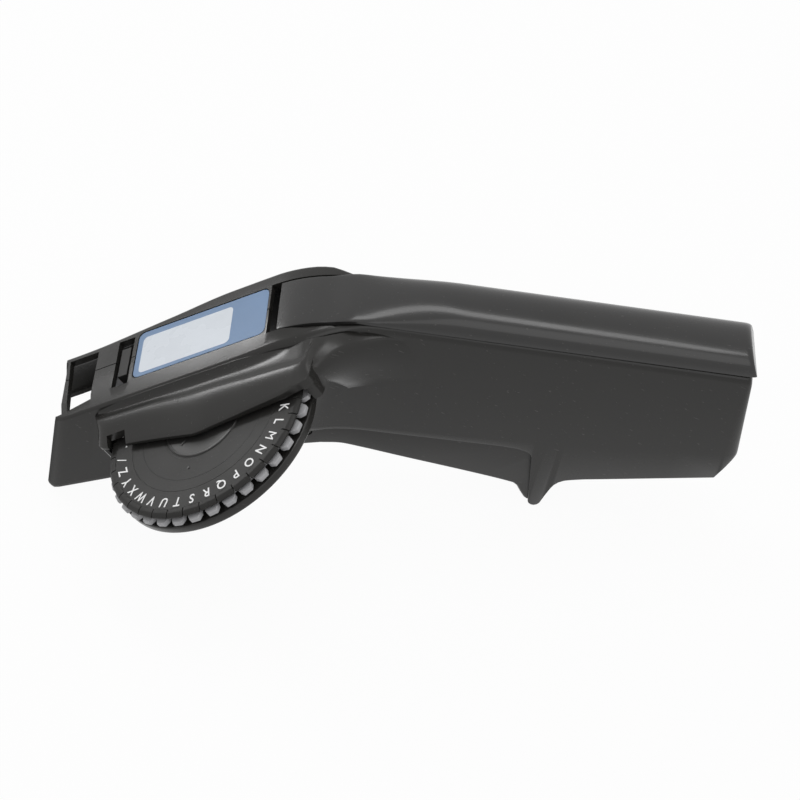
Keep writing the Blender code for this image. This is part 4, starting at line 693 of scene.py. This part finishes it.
ridge_falls = [(0.2, 0.03), (0.45, 0.13), (0.7, 0.24), (1, 0.3)]
wall_shares = (0.2, 0.4, 0.6, 0.75, 0.87, 0.95, 1)
wall_bend = 3.4
jaw_low, jaw_root, jaw_sunk = 1.3, 13.3, 0.6


def curved(points, steps):
    """More points on a curve through the given ones (centripetal Catmull-Rom)."""
    result = []
    count = len(points)
    for i in range(count - 1):
        p1, p2 = Vector(points[i]), Vector(points[i + 1])
        p0 = Vector(points[i - 1]) if i else p1 + (p1 - p2)
        p3 = Vector(points[i + 2]) if i + 2 < count else p2 + (p2 - p1)
        knots = [0.0]
        for a, b in ((p0, p1), (p1, p2), (p2, p3)):
            knots.append(knots[-1] + max((b - a).length ** 0.5, 1e-4))
        for step in range(steps):
            t = blend(knots[1], knots[2], step / steps)
            row, spans = [p0, p1, p2, p3], [(0, 1), (1, 2), (2, 3), (0, 2), (1, 3), (1, 2)]
            while len(row) > 1:
                row = [a.lerp(b, (t - knots[first]) / (knots[last] - knots[first]))
                       for (a, b), (first, last) in zip(zip(row, row[1:]), spans)]
                spans = spans[len(row):]
            result.append(row[0])
    result.append(Vector(points[-1]))
    return result


def jaw_mesh():
    rings = []
    plan = [(*low, *ridge, level) for low, ridge, level in jaw_plan]
    for low_x, low_y, ridge_x, ridge_y, top in curved(plan, 6):
        lip = along(lip_tops, low_x)
        back = min(ridge_y + 2.4, 11.95)
        dip = top - ridge_falls[-1][1]
        wall_top = max(dip, min(along(wall_tops, ridge_x), top + 1.7))
        face = [(0, jaw_low - jaw_sunk), *[(share, lip + rise) for share, rise in lip_rises],
                *[(share, blend(lip, top, rise)) for share, rise in face_rises]]
        ring = [Vector((blend(low_x, ridge_x, share), blend(low_y, ridge_y, share), level)) for share, level in face]
        ring += [Vector((ridge_x, blend(ridge_y, back, share), top - fall)) for share, fall in ridge_falls]
        ring += [Vector((ridge_x, blend(back, 12.05, share), blend(dip, wall_top, share ** wall_bend)))
                 for share in wall_shares]
        ring += [Vector((ridge_x, 13.2, level)) for level in (wall_top, jaw_low - jaw_sunk)]
        rings.append(ring)
    return loft("jaw", rings, wheel_spot)


# %% The brackets and the flare behind the jaw
front_bracket = [(-31.0, jaw_root), (-31.0, 4.0), (-33.4, 2.2), (-34.7, 1.9), (-35.4, 2.4), (-35.9, 4.4),
                 (-36.8, 10.6), (-37.0, jaw_root)]
rear_bracket = [(32.0, jaw_root), (32.0, 3.0), (33.6, -0.8), (34.2, -1.1), (35.8, -0.9), (36.5, -0.3),
                (37.0, 1.2), (37.5, 5.0), (38.0, jaw_root)]
flare_start, flare_end, flare_height = 36.2, 60.0, 22
flare_fronts = [(36.2, 3.4), (37.3, 3.0), (38.4, 4.0), (40.5, 6.1), (43.0, 8.5), (46.0, 11.2),
                (50.0, 14.2), (55.0, 16.6), (60.0, 17.7)]
flare_walls = [(36.2, 12.4), (40.0, 12.5), (43.0, 13.4), (46.0, 15.0), (50.0, 16.5), (55.0, 17.5),
               (60.0, 18.0)]
flare_tops = [(36.2, 4.5), (40.0, 3.6), (44.0, 1.4), (48.0, -2.4), (52.0, -5.9), (60.0, -12.5)]
flare_shares = [(0, 0), (0.15, 0.3), (0.5, 0.6), (1.1, 0.82), (2.0, 0.95), (3.5, 1), (7, 0.9),
                (11, 0.66), (15, 0.38), (19, 0.14), (22, 0)]
flare_depths = (0, 0.15, 0.5, 1.1, 2, 3.5, 5, 7, 9, 11, 13, 15, 17, 19, 20.5, 22)


def flare_mesh():
    """The side of the body sweeps out to the rear corner of the jaw."""
    rings = []
    for step in range(25):
        place = blend(flare_start, flare_end, step / 24)
        wall, front, top = (along(table, place) for table in (flare_walls, flare_fronts, flare_tops))
        ring = [Vector((place, blend(wall, front, along(flare_shares, deep)), top - deep)) for deep in flare_depths]
        ring += [Vector((place, wall + 0.9, level)) for level in (top - flare_height, top)]
        rings.append(ring)
    return loft("flare", rings, wheel_spot)


print("sections of the jaw:", 6 * (len(jaw_plan) - 1) + 1)


# %% The trigger's mouth
trigger_pivot = (-7.9, -51.6)
trigger_tip = (62.7, -70.1)
trigger_half_width = 6.9


def pivot_arc(slit, start, end, steps=14):
    radius = (Vector(trigger_tip) - Vector(trigger_pivot)).length + slit
    arc = []
    for step in range(steps + 1):
        level = blend(start, end, step / steps)
        arc.append((trigger_pivot[0] + math.sqrt(radius ** 2 - (level - trigger_pivot[1]) ** 2), level))
    return arc


def mouth_mesh(side):
    outline = [(nose_front.x - 3, skirt_front[1] - 3), (trigger_pivot[0], skirt_front[1] - 3),
               *pivot_arc(0.4, -74.8, -32.8), (0, -32.8), (trigger_pivot[0], skirt_back[1] + 3),
               (nose_front.x - 3, nose_front.z - side_wall)]
    low, high = sorted((-side * 3, side * (trigger_half_width + clearance)))
    return slab("mouth", outline, low, high, "XZ")


# %% Windows, pocket and holes
front_window = [(-46.8, 7.4), (-36.4, 7.4), (-36.4, -10.8), (-44.7, -12.2)]
rear_window = [(-29.0, 8.2), (-23.4, 8.2), (-23.4, -9.6), (-29.0, -9.6)]
set_back = [(-51.3, -12.5), (-46.9, -12.5), (-47.6, 7.4), (-51.3, 7.4)]
slot_start = 24.0
hinge_run = 5.2
hinge_point, hinge_up = top_line(hinge_run)
hinge_spot = hinge_point - hinge_up * 4.2
hinge_centre = (hinge_spot.x, hinge_spot.z)
widen_from, widen_to = 16.5, bend_run + 1.5
screw_places = [(68.7, -39.5), (107.0, -38.0), (24.0, -22.0)]
front_shares = (0.3, 0.42, 0.5, 0.6, 0.68, 0.73, 0.78, 0.83, 0.88, 0.93, 0.98)


def rounded_rectangle(start, length, width, radius, steps=6):
    outline = []
    for quarter, (sx, sy) in enumerate(((1, 1), (-1, 1), (-1, -1), (1, -1))):
        for step in range(steps + 1):
            turn = math.pi / 2 * (quarter + step / steps)
            outline.append((start + length / 2 + sx * (length / 2 - radius) + radius * math.cos(turn),
                            sy * (width / 2 - radius) + radius * math.sin(turn)))
    return outline


def channel(runs, depths, reaches, high=3.0):
    """A closed channel along the top line, to cut with."""
    rings = []
    for run, deep, reach in zip(runs, depths, reaches):
        point, up = top_line(run)
        rings.append([point + up * level + Vector((0, out, 0))
                      for out, level in ((-reach, -deep), (reach, -deep), (reach, high), (-reach, high))])
    return loft("channel", rings)


def openings():
    top_high, top_low = wheel_below_top + 3, wheel_below_top - 3.8
    cuts = [slab("window", outline, top_low, top_high, place=nose_place)
            for outline in (front_window, rear_window, set_back)]
    seat = rounded_rectangle(-22.1, 45.45, 18.0, 2.2)
    cuts.append(slab("seat", seat, wheel_below_top - 0.8, top_high, place=nose_place))
    return joined(cuts)


def into_handle(run):
    """How far the cover's place has turned from the nose's kind to the handle's."""
    return ease((run - widen_from) / (widen_to - widen_from))


def pocket():
    runs = [slot_start - wheel_to_bend, *[share * bend_run for share in front_shares], widen_to]
    shares = [into_handle(run) for run in runs]
    return channel(runs, [blend(1.9, clearance - 0.4, share) for share in shares],
                   [blend(cover_half_width, half_width, share) + clearance for share in shares])


def tape_opening():
    first, last = slot_start - wheel_to_bend + clearance, bend_run + handle_length - side_wall - clearance
    runs = [blend(first, last, share) for share in (0, 0.03, 0.06, 0.1, 0.14, 0.18, 0.22, 0.35, 1)]
    return channel(runs, [4.1] * 9, [half_width - side_wall - clearance] * 9)


def swing_room():
    runs = (slot_start - wheel_to_bend - 0.15, hinge_run, hinge_run + 1.7)
    return channel(runs, [3.4] * 3, [9.45] * 3, -0.8)


# %% Bosses and ribs inside
boss_radius, screw_bore, hinge_boss, hinge_bore = 3.0, 1.4, 2.1, 1.2
trigger_bore, trigger_wall, lug_gap, lug_wall, lug_radius = 1.8, 1.5, 0.2, 1.5, 2.9
bridge_front, bridge_back, bridge_low, bridge_high = -12.3, -3.5, -43.6, -38.0


def bosses(side):
    low, high = sorted((-side * 0.75, side * (half_width - side_wall / 2)))
    made = [round_bar(boss_radius, low, high, centre=spot) for spot in screw_places]
    low, high = sorted((side * 6.9, side * 13.0))
    high -= 0.9 if side > 0 else 0
    made.append(round_bar(hinge_boss, low, high, centre=hinge_centre))
    low, high = sorted((-side * 0.6, side * (half_width - side_wall / 2)))
    made.append(block((33.5, low, -35.0), (42.5, high, -33.4)))
    lug_inside = trigger_half_width - trigger_wall - lug_gap - lug_wall
    low, high = sorted((side * lug_inside, side * (lug_inside + lug_wall)))
    outline = [(bridge_front, bridge_high), (bridge_front, bridge_low)]
    outline += [(trigger_pivot[0] + out, trigger_pivot[1] + up)
                for out, up in (spoke(lug_radius, math.radians(angle)) for angle in range(190, 351, 20))]
    outline += [(bridge_back, bridge_low), (bridge_back, bridge_high)]
    made.append(slab("lug", outline, low, high, "XZ"))
    return joined(made)


def bridge(side):
    low, high = sorted((side * 2.2, side * (half_width - side_wall / 3)))
    return block((bridge_front, low, bridge_low), (bridge_back, high, bridge_high))


def bores(side):
    low, high = (-5.3, 3.0) if side < 0 else (-3.0, half_width - 2.0)
    return joined([round_bar(trigger_bore, -trigger_half_width, trigger_half_width, centre=trigger_pivot),
                   round_bar(hinge_bore, -10.3, 10.3, centre=hinge_centre),
                   *[round_bar(screw_bore, low, high, centre=spot) for spot in screw_places]])


print("hinge of the cover at", tuple(round(c, 1) for c in hinge_spot))


# %% The two half shells
wheel_room, guard_level = 34.0, -4.9
far_beyond = 230


def shell_mesh(side):
    near = side < 0
    steps = [(cut, loft("hollow", half_body(side, True)))]
    if near:
        brackets = [slab("bracket", front_bracket, -4.4, 2.2, round_high=0.4, place=wheel_spot),
                    slab("bracket", rear_bracket, -4.4, 3.7, place=wheel_spot)]
        index_notch = block((-31.4, -3.0, 0), (-25.0, 3.0, 8.3), wheel_spot)
        axle_hole = round_bar(2.3, 0, 2.7, "Z", place=wheel_spot)
        steps += [(add, jaw_mesh()), (add, joined(brackets)), (add, flare_mesh()),
                  (cut, round_bar(wheel_room, guard_level, jaw_low, "Z", sides=144, place=wheel_spot)),
                  (cut, joined([index_notch, axle_hole]))]
    nose_low = (nose_place.inverted() @ Vector((skirt_front[0], 0, skirt_front[1]))).z - 3
    low, high = sorted((-side * 3, side * ((near_width if near else far_tip_width) - 1.9)))
    under_nose = block((-nose_length - 3, low, nose_low), (wheel_to_bend / 2, high, guard_level), nose_place)
    steps += [(cut, mouth_mesh(side)), (cut, under_nose), (cut, swing_room()),
              (add, bosses(side)), (add, bridge(side)), (cut, bores(side))]
    low, high = sorted((side * 0.15, -side * 30))
    steps.append((cut, block((-far_beyond, low, -120), (far_beyond, high, 60))))
    if not near:
        sinks = [round_bar(2.7, half_width - 2.2, half_width + 3, centre=spot) for spot in screw_places]
        steps.append((cut, joined(sinks)))
    steps += [(cut, opening()) for opening in (openings, pocket, tape_opening)]
    return carve("shell", loft("half", half_body(side)), steps)


def hand_over(name, mesh, body, paint, replaced):
    """A mesh as an object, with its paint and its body."""
    piece = new_object(name, mesh)
    mesh.materials.clear()
    mesh.materials.append(paint)
    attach(piece, body)
    if replaced:
        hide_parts(*replaced)
    print(name, "has", len(mesh.polygons), "faces")
    return piece


def finish_piece(name, mesh, body, paint, replaced, place=handle, degrees=28):
    """A mesh in millimetres, put in its place in the world and handed over."""
    mesh.transform(place @ in_metres)
    smooth_shading(mesh, degrees)
    return hand_over(name, mesh, body, paint, replaced)


finish_piece("near_half", shell_mesh(-1), "body", satin_black, ["left_shell"])
finish_piece("far_half", shell_mesh(1), "body", satin_black, ["right_shell"])

# %% [markdown]
# The cover lies flush and flat over the bend and rises to a low crown on the handle. Its
# rear face leans back and its rear corners are round.


# %% The cover of the tape magazine
def cover_section(run, slope=0.0, inset_by=0.0, shrink=0.0, steps=20):
    point, up = top_line(run)
    handle_place = run - bend_run
    share = into_handle(run)
    width = blend(cover_half_width, half_width, share) - inset_by
    rise = blend(0.4, 1.0, max(handle_place, 0) / handle_length)
    low = blend(-1.6, rise, share)
    rim_height = blend(1.4, 0.8, share)
    crown = blend(0.2, 5.6, ease((handle_place + 8) / 38)) - shrink
    width -= shrink / 2
    if inset_by:
        crown = max(crown - inset_by, 0) + 0.1 * inset_by
    sketch = [(-width, low - (3 if inset_by else 0))]
    for step in range(steps + 1):
        turn = math.pi * (1 - step / steps)
        out = math.copysign(abs(math.cos(turn)) ** 0.9, math.cos(turn))
        sketch.append((width * out, low + rim_height + crown * math.sin(turn) ** 0.9))
    sketch.append((width, low - (3 if inset_by else 0)))
    return [point + up * height + Vector((slope * (1 - (height - low) / (rim_height + crown)), across, 0))
            for across, height in sketch]


def cover_mesh():
    first = slot_start + 3.3 - wheel_to_bend
    last = bend_run + handle_length + 0.4 - 2.4
    runs = [blend(first, bend_run, step / 16) for step in range(16)]
    runs += [bend_run + 44 * (step / 22) for step in range(23)] + [bend_run + 66, bend_run + 88]
    rings = [cover_section(run) for run in runs]
    for step in range(7):
        turn = math.pi / 2 * step / 6
        rings.append(cover_section(last - 2.2 * (1 - math.sin(turn)), 2.4, 0, 1.2 * (1 - math.cos(turn))))
    hollow_first = bend_run + 7.5
    inner = [cover_section(blend(hollow_first, last - side_wall, share), 0, 1.6)
             for share in (0, 0.05, 0.1, 0.15, 0.2, 0.3, 0.5, 1)]
    steps = [(cut, loft("cover_hollow", inner))]
    turn = Matrix.Translation(hinge_spot) @ Matrix.Rotation(math.asin(hinge_up.x), 4, "Y")
    for side in (-1, 1):
        low, high = sorted((side * 4.9, side * 6.6))
        steps.append((add, round_bar(hinge_boss, low, high, centre=hinge_centre)))
        steps.append((add, block((-1.05, low, 0), (2.1, high, 3.4), turn)))
    steps.append((cut, round_bar(hinge_bore, -9.25, 9.25, centre=hinge_centre)))
    return carve("cover", loft("cover", rings), steps)


finish_piece("magazine_cover", cover_mesh(), "cover", glossy_black, ["top_cover"])

# %% [markdown]
# The trigger is a deep channel. Its lower edge is one easy curve from the boss at the pivot
# to the tip, and its rims are well rounded, because fingers pull on them.


# %% The trigger
def trigger_mesh():
    front = []
    for angle in range(60, 259, 11):
        out, up = spoke(blend(3.9, 7.0, ease((angle - 150) / 80)), math.radians(angle))
        front.append((trigger_pivot[0] + out, trigger_pivot[1] + up))
    belly = curved([(-3.2, -56.4), (2.7, -55.4), (8.8, -56.0), (21.2, -57.8), (43.0, -60.8), (52.5, -62.3),
                    (56.5, -63.1)], 5)
    belly += curved([(57.8, -64.1), (60.9, -69.1), (61.9, -69.9)], 2)
    outline = [*[tuple(spot) for spot in belly], *pivot_arc(0, trigger_tip[1], -43.4, 10), (4.0, -46.4),
               *front]
    body = slab("trigger", outline, -trigger_half_width, trigger_half_width, "XZ", 1.0, 1.0, steps=4)
    floor_line = [(2.7, -55.4), (21.2, -57.8), (56.5, -63.1)]
    inside = trigger_half_width - 1.4
    channel_line = [(-11.4, -54.5), (-7.9, -54.8), *[(x, z + 1.8) for x, z in floor_line], (56.5, -40.4),
                    (-11.4, -40.4)]
    return carve("trigger", body, [(cut, slab("channel", channel_line, -inside, inside, "XZ")),
                                   (cut, round_bar(trigger_bore, -9.25, 9.25, centre=trigger_pivot))])


finish_piece("squeeze_trigger", trigger_mesh(), "trigger", trigger_black, ["trigger"])

# %% [markdown]
# A coil spring sends the trigger back. It is pressed between the trigger's floor and a rib
# of the body, and it is drawn at its free height.

# %% The return spring
spring_x, spring_low, spring_high = 38.0, -57.5, -35.75
spring_radius, spring_wire, spring_turns, spring_steps, wire_sides = 3.0, 0.45, 5, 120, 8
spring_rings = []
for step in range(spring_steps + 1):
    turn = 2 * math.pi * spring_turns * step / spring_steps
    out, level = Vector((math.cos(turn), math.sin(turn), 0)), blend(spring_low, spring_high, step / spring_steps)
    middle = Vector((spring_x, 0, level))
    spring_rings.append([middle + out * (spring_radius + spring_wire * math.cos(side))
                         + Vector((0, 0, spring_wire * math.sin(side)))
                         for side in (2 * math.pi * i / wire_sides for i in range(wire_sides))])
spring = finish_piece("return_spring", loft("spring", spring_rings), "body", drawn_steel,
                      ["trigger_spring"])
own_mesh(spring)


# %% The guard under the wheel
guard_radius, guard_low, guard_high = 32.9, -7.7, -4.7


def guard_mesh():
    limit = math.asin((wheel_offset - near_width + 0.1) / guard_radius)
    outline = [spoke(guard_radius, blend(math.pi - limit, 2 * math.pi + limit, step / 96)) for step in range(97)]
    disc = slab("guard", outline, guard_low, guard_high, round_low=0.9, round_high=0.5, steps=4)
    return carve("guard", disc, [(cut, round_bar(2.3, -10, 0, "Z"))])


finish_piece("wheel_floor", guard_mesh(), "body", satin_black, ["wheel_guard"], wheel)

# %% [markdown]
# The wheel is two discs. The upper one is cut into springy fingers, one for each
# character, and the lower one has pale teeth that the thumb turns it by. One finger and
# one tooth are drawn, and Geometry Nodes turn copies of them round the axle.


# %% A ring of copies by Geometry Nodes
def ring_tree():
    tree = bpy.data.node_groups.new("ring_of_copies", "GeometryNodeTree")
    for name, kind in (("Geometry", "Geometry"), ("Count", "Int"), ("First Turn", "Float"), ("Paint", "Material")):
        tree.interface.new_socket(name, in_out="INPUT", socket_type="NodeSocket" + kind)
    tree.interface.new_socket("Geometry", in_out="OUTPUT", socket_type="NodeSocketGeometry")
    made, given = tree.nodes.new("NodeGroupInput"), tree.nodes.new("NodeGroupOutput")
    points = node(tree, "GeometryNodePoints", Count=made.outputs["Count"])
    step = math_node(tree, "DIVIDE", 2 * math.pi, made.outputs["Count"])
    turn = math_node(tree, "MULTIPLY", tree.nodes.new("GeometryNodeInputIndex").outputs[0], step)
    turn = math_node(tree, "ADD", turn, made.outputs["First Turn"])
    about = node(tree, "ShaderNodeCombineXYZ", Z=turn)
    copies = node(tree, "GeometryNodeInstanceOnPoints", Points=points.outputs[0],
                  Instance=made.outputs["Geometry"], Rotation=about.outputs[0])
    real = node(tree, "GeometryNodeRealizeInstances", Geometry=copies.outputs[0])
    paint = node(tree, "GeometryNodeSetMaterial", Geometry=real.outputs[0], Material=made.outputs["Paint"])
    tree.links.new(paint.outputs[0], given.inputs[0])
    return tree


copies_tree = ring_tree()
sockets = {item.name: item.identifier for item in copies_tree.interface.items_tree if item.in_out == "INPUT"}


def ring_of(mesh, count, first_turn, paint):
    """A plain mesh of copies of one mesh, turned round the axle."""
    work = new_object("one_copy", mesh)
    ring = work.modifiers.new("ring", "NODES")
    ring.node_group = copies_tree
    ring[sockets["Count"]] = count
    ring[sockets["First Turn"]] = first_turn
    ring[sockets["Paint"]] = paint
    return evaluated(work)


print("inputs of the ring:", list(sockets))


# %% The upper disc and its fingers
finger_count = 36
finger_step = 2 * math.pi / finger_count


def turned(profile, sides=144):
    """A closed profile of (radius, level) turned round the axle."""
    bm = bmesh.new()
    rows = []
    for step in range(sides):
        turn = 2 * math.pi * step / sides
        rows.append([bm.verts.new((*spoke(radius, turn), level)) for radius, level in profile])
    for here, there in zip(rows, rows[1:] + rows[:1]):
        for i in range(len(profile)):
            j = (i + 1) % len(profile)
            bm.faces.new((here[i], there[i], there[j], here[j]))
    return make_mesh("turned", bm)


def groove(radius, width=0.16, depth=0.07):
    return [(radius - width, 0), (radius - width / 2, -depth), (radius + width / 2, -depth),
            (radius + width, 0)]


def sector(rows, gap):
    """One finger or tooth: rows of (radius, half width, low, high), outward along X."""
    bm = bmesh.new()
    rings = []
    for radius, half, low, high in rows:
        corners = ((-half, low), (half, low), (half, high), (-half, high))
        rings.append([bm.verts.new((radius, y, z)) for y, z in corners])
    for here, there in zip(rings, rings[1:]):
        for i in range(4):
            j = (i + 1) % 4
            bm.faces.new((here[i], here[j], there[j], there[i]))
    bm.faces.new(rings[0])
    bm.faces.new(list(reversed(rings[-1])))
    bmesh.ops.recalc_face_normals(bm, faces=bm.faces)
    edges = [e for e in bm.edges if max(v.co.x for v in e.verts) > rows[0][0] + 0.1]
    bmesh.ops.bevel(bm, geom=edges, offset=gap, segments=1, affect="EDGES", clamp_overlap=True)
    return make_mesh("sector", bm, 0)


def finger_half(radius, gap=0.13):
    return radius * math.tan(finger_step / 2) - gap


finger_rows = [(29.7, 0, 0.0), (31.1, 0, 0.0), (31.9, 0, -0.42), (32.2, 0.25, -0.75)]
finger = sector([(radius, finger_half(radius) - less, -1.2, high) for radius, less, high in finger_rows], 0.07)
disc_profile = [(6.2, -1.2), (29.9, -1.2), (29.9, 0), *reversed(groove(24.0)),
                *reversed(groove(20.2, 0.12, 0.035)), (13.0, 0), (12.9, -0.1), (12.45, -0.1), (12.3, 0.0), (6.2, 0)]
upper = joined([turned(disc_profile), ring_of(finger, finger_count, 0, wheel_black)])
finish_piece("finger_disc", upper, "wheel", wheel_black, ["upper_disc"], wheel, 20)

# %% The hub, the teeth and a moulding pip
hub_profile = [(2.3, -3.5), (4.2, -3.5), (4.2, -1.25), (11.9, -1.25), (12.2, -1.1), (12.2, 0.06), (12.1, 0.2),
               (11.9, 0.26), (11.6, 0.24), (11.45, 0.14), (2.5, 0.14), (2.3, 0.06)]
mark_outline = [(-6.6, -6.5), (-6.2, -6.9), (-5.0, -5.3), (-5.4, -4.9)]
hub = joined([turned(hub_profile, 96), round_bar(0.42, 0.0, 0.16, "Z", (-2.9, -15.9), 20),
              slab("mark", mark_outline, 0.1, 0.4, round_high=0.1)])
finish_piece("hub_disc", hub, "wheel", hub_black, ["wheel_hub"], wheel)
tooth = sector([(29.8, 1.8, -3.2, -1.95), (31.6, 2.1, -3.5, -1.95), (33.15, 1.35, -3.5, -2.2),
                (33.27, 1.2, -3.3, -2.5)], 0.1)
ring_plate = turned([(6.2, -3.2), (29.9, -3.2), (29.9, -2.0), (6.2, -2.0)])
teeth = joined([ring_plate, ring_of(tooth, finger_count, 0, pale_grey)])
finish_piece("tooth_disc", teeth, "wheel", pale_grey, ["lower_disc"], wheel, 20)

# %% [markdown]
# The foil plate has a blue border and a pale field on its front part. The field is a thin
# layer of its own, as a second print would be. Nothing is written on it.

# %% The pale field of the name plate
field = rounded_rectangle(-20.0, 31.2, 13.9, 1.5)
field_mesh = slab("field", [(x, y - 0.45) for x, y in field], 8.17, 8.23)
foil_pale = plastic("foil_pale", (0.62, 0.66, 0.71), 0.28, dust=0.05, scratches=0.03)
finish_piece("plate_field", field_mesh, "body", foil_pale, (), nose)

# %% [markdown]
# The characters stand on the wheel's fingers in a ring, tops outward, so each reads
# upright when its finger comes under the anvil. A text curve gives each letter its
# outline; it becomes a thin mesh that is turned to its place.


# %% Characters on the wheel
ring_of_letters = "ABCDEFGHIJKLMNOPQRSTUVWXYZ/.23456789"
letter_radius = 27.5 * mm
letter_height = 3.1 * mm
letter_raise = 0.12 * mm
letter_sink = 0.05 * mm
letter_size, letter_weight, letter_width, slash_lean = 1.38, 0.012, 0.86, 0.3
ink = plastic("letter_ink", (0.86, 0.86, 0.86), 0.5, dust=0.0, scratches=0.0)


def letter_mesh(text):
    curve = bpy.data.curves.new("letter", "FONT")
    curve.body = text
    curve.align_x = "CENTER"
    curve.align_y = "CENTER"
    curve.size = letter_height * letter_size
    curve.offset = 0 if text == "M" else letter_height * letter_weight
    curve.extrude = (letter_raise + letter_sink) / 2
    curve.resolution_u = 3
    mesh = evaluated(new_object("letter", curve))
    narrow = Matrix.Diagonal((letter_width, 1, 1, 1))
    if text == "/":
        narrow[0][1] = slash_lean
    mesh.transform(narrow)
    return mesh


letters = bmesh.new()
for index, text in enumerate(ring_of_letters):
    mesh = letter_mesh(text)
    mesh.transform(wheel @ Matrix.Rotation(math.radians(90 - 10 * index), 4, "Z")
                   @ Matrix.Translation((letter_radius, 0, (letter_raise - letter_sink) / 2))
                   @ Matrix.Rotation(-math.pi / 2, 4, "Z"))
    letters.from_mesh(mesh)
bmesh.ops.remove_doubles(letters, verts=letters.verts, dist=0.0005 * mm)
letters_mesh = bpy.data.meshes.new("letters")
letters.to_mesh(letters_mesh)
letters.free()
hand_over("letters", letters_mesh, "wheel", ink, ())
print("characters on the wheel:", len(ring_of_letters))
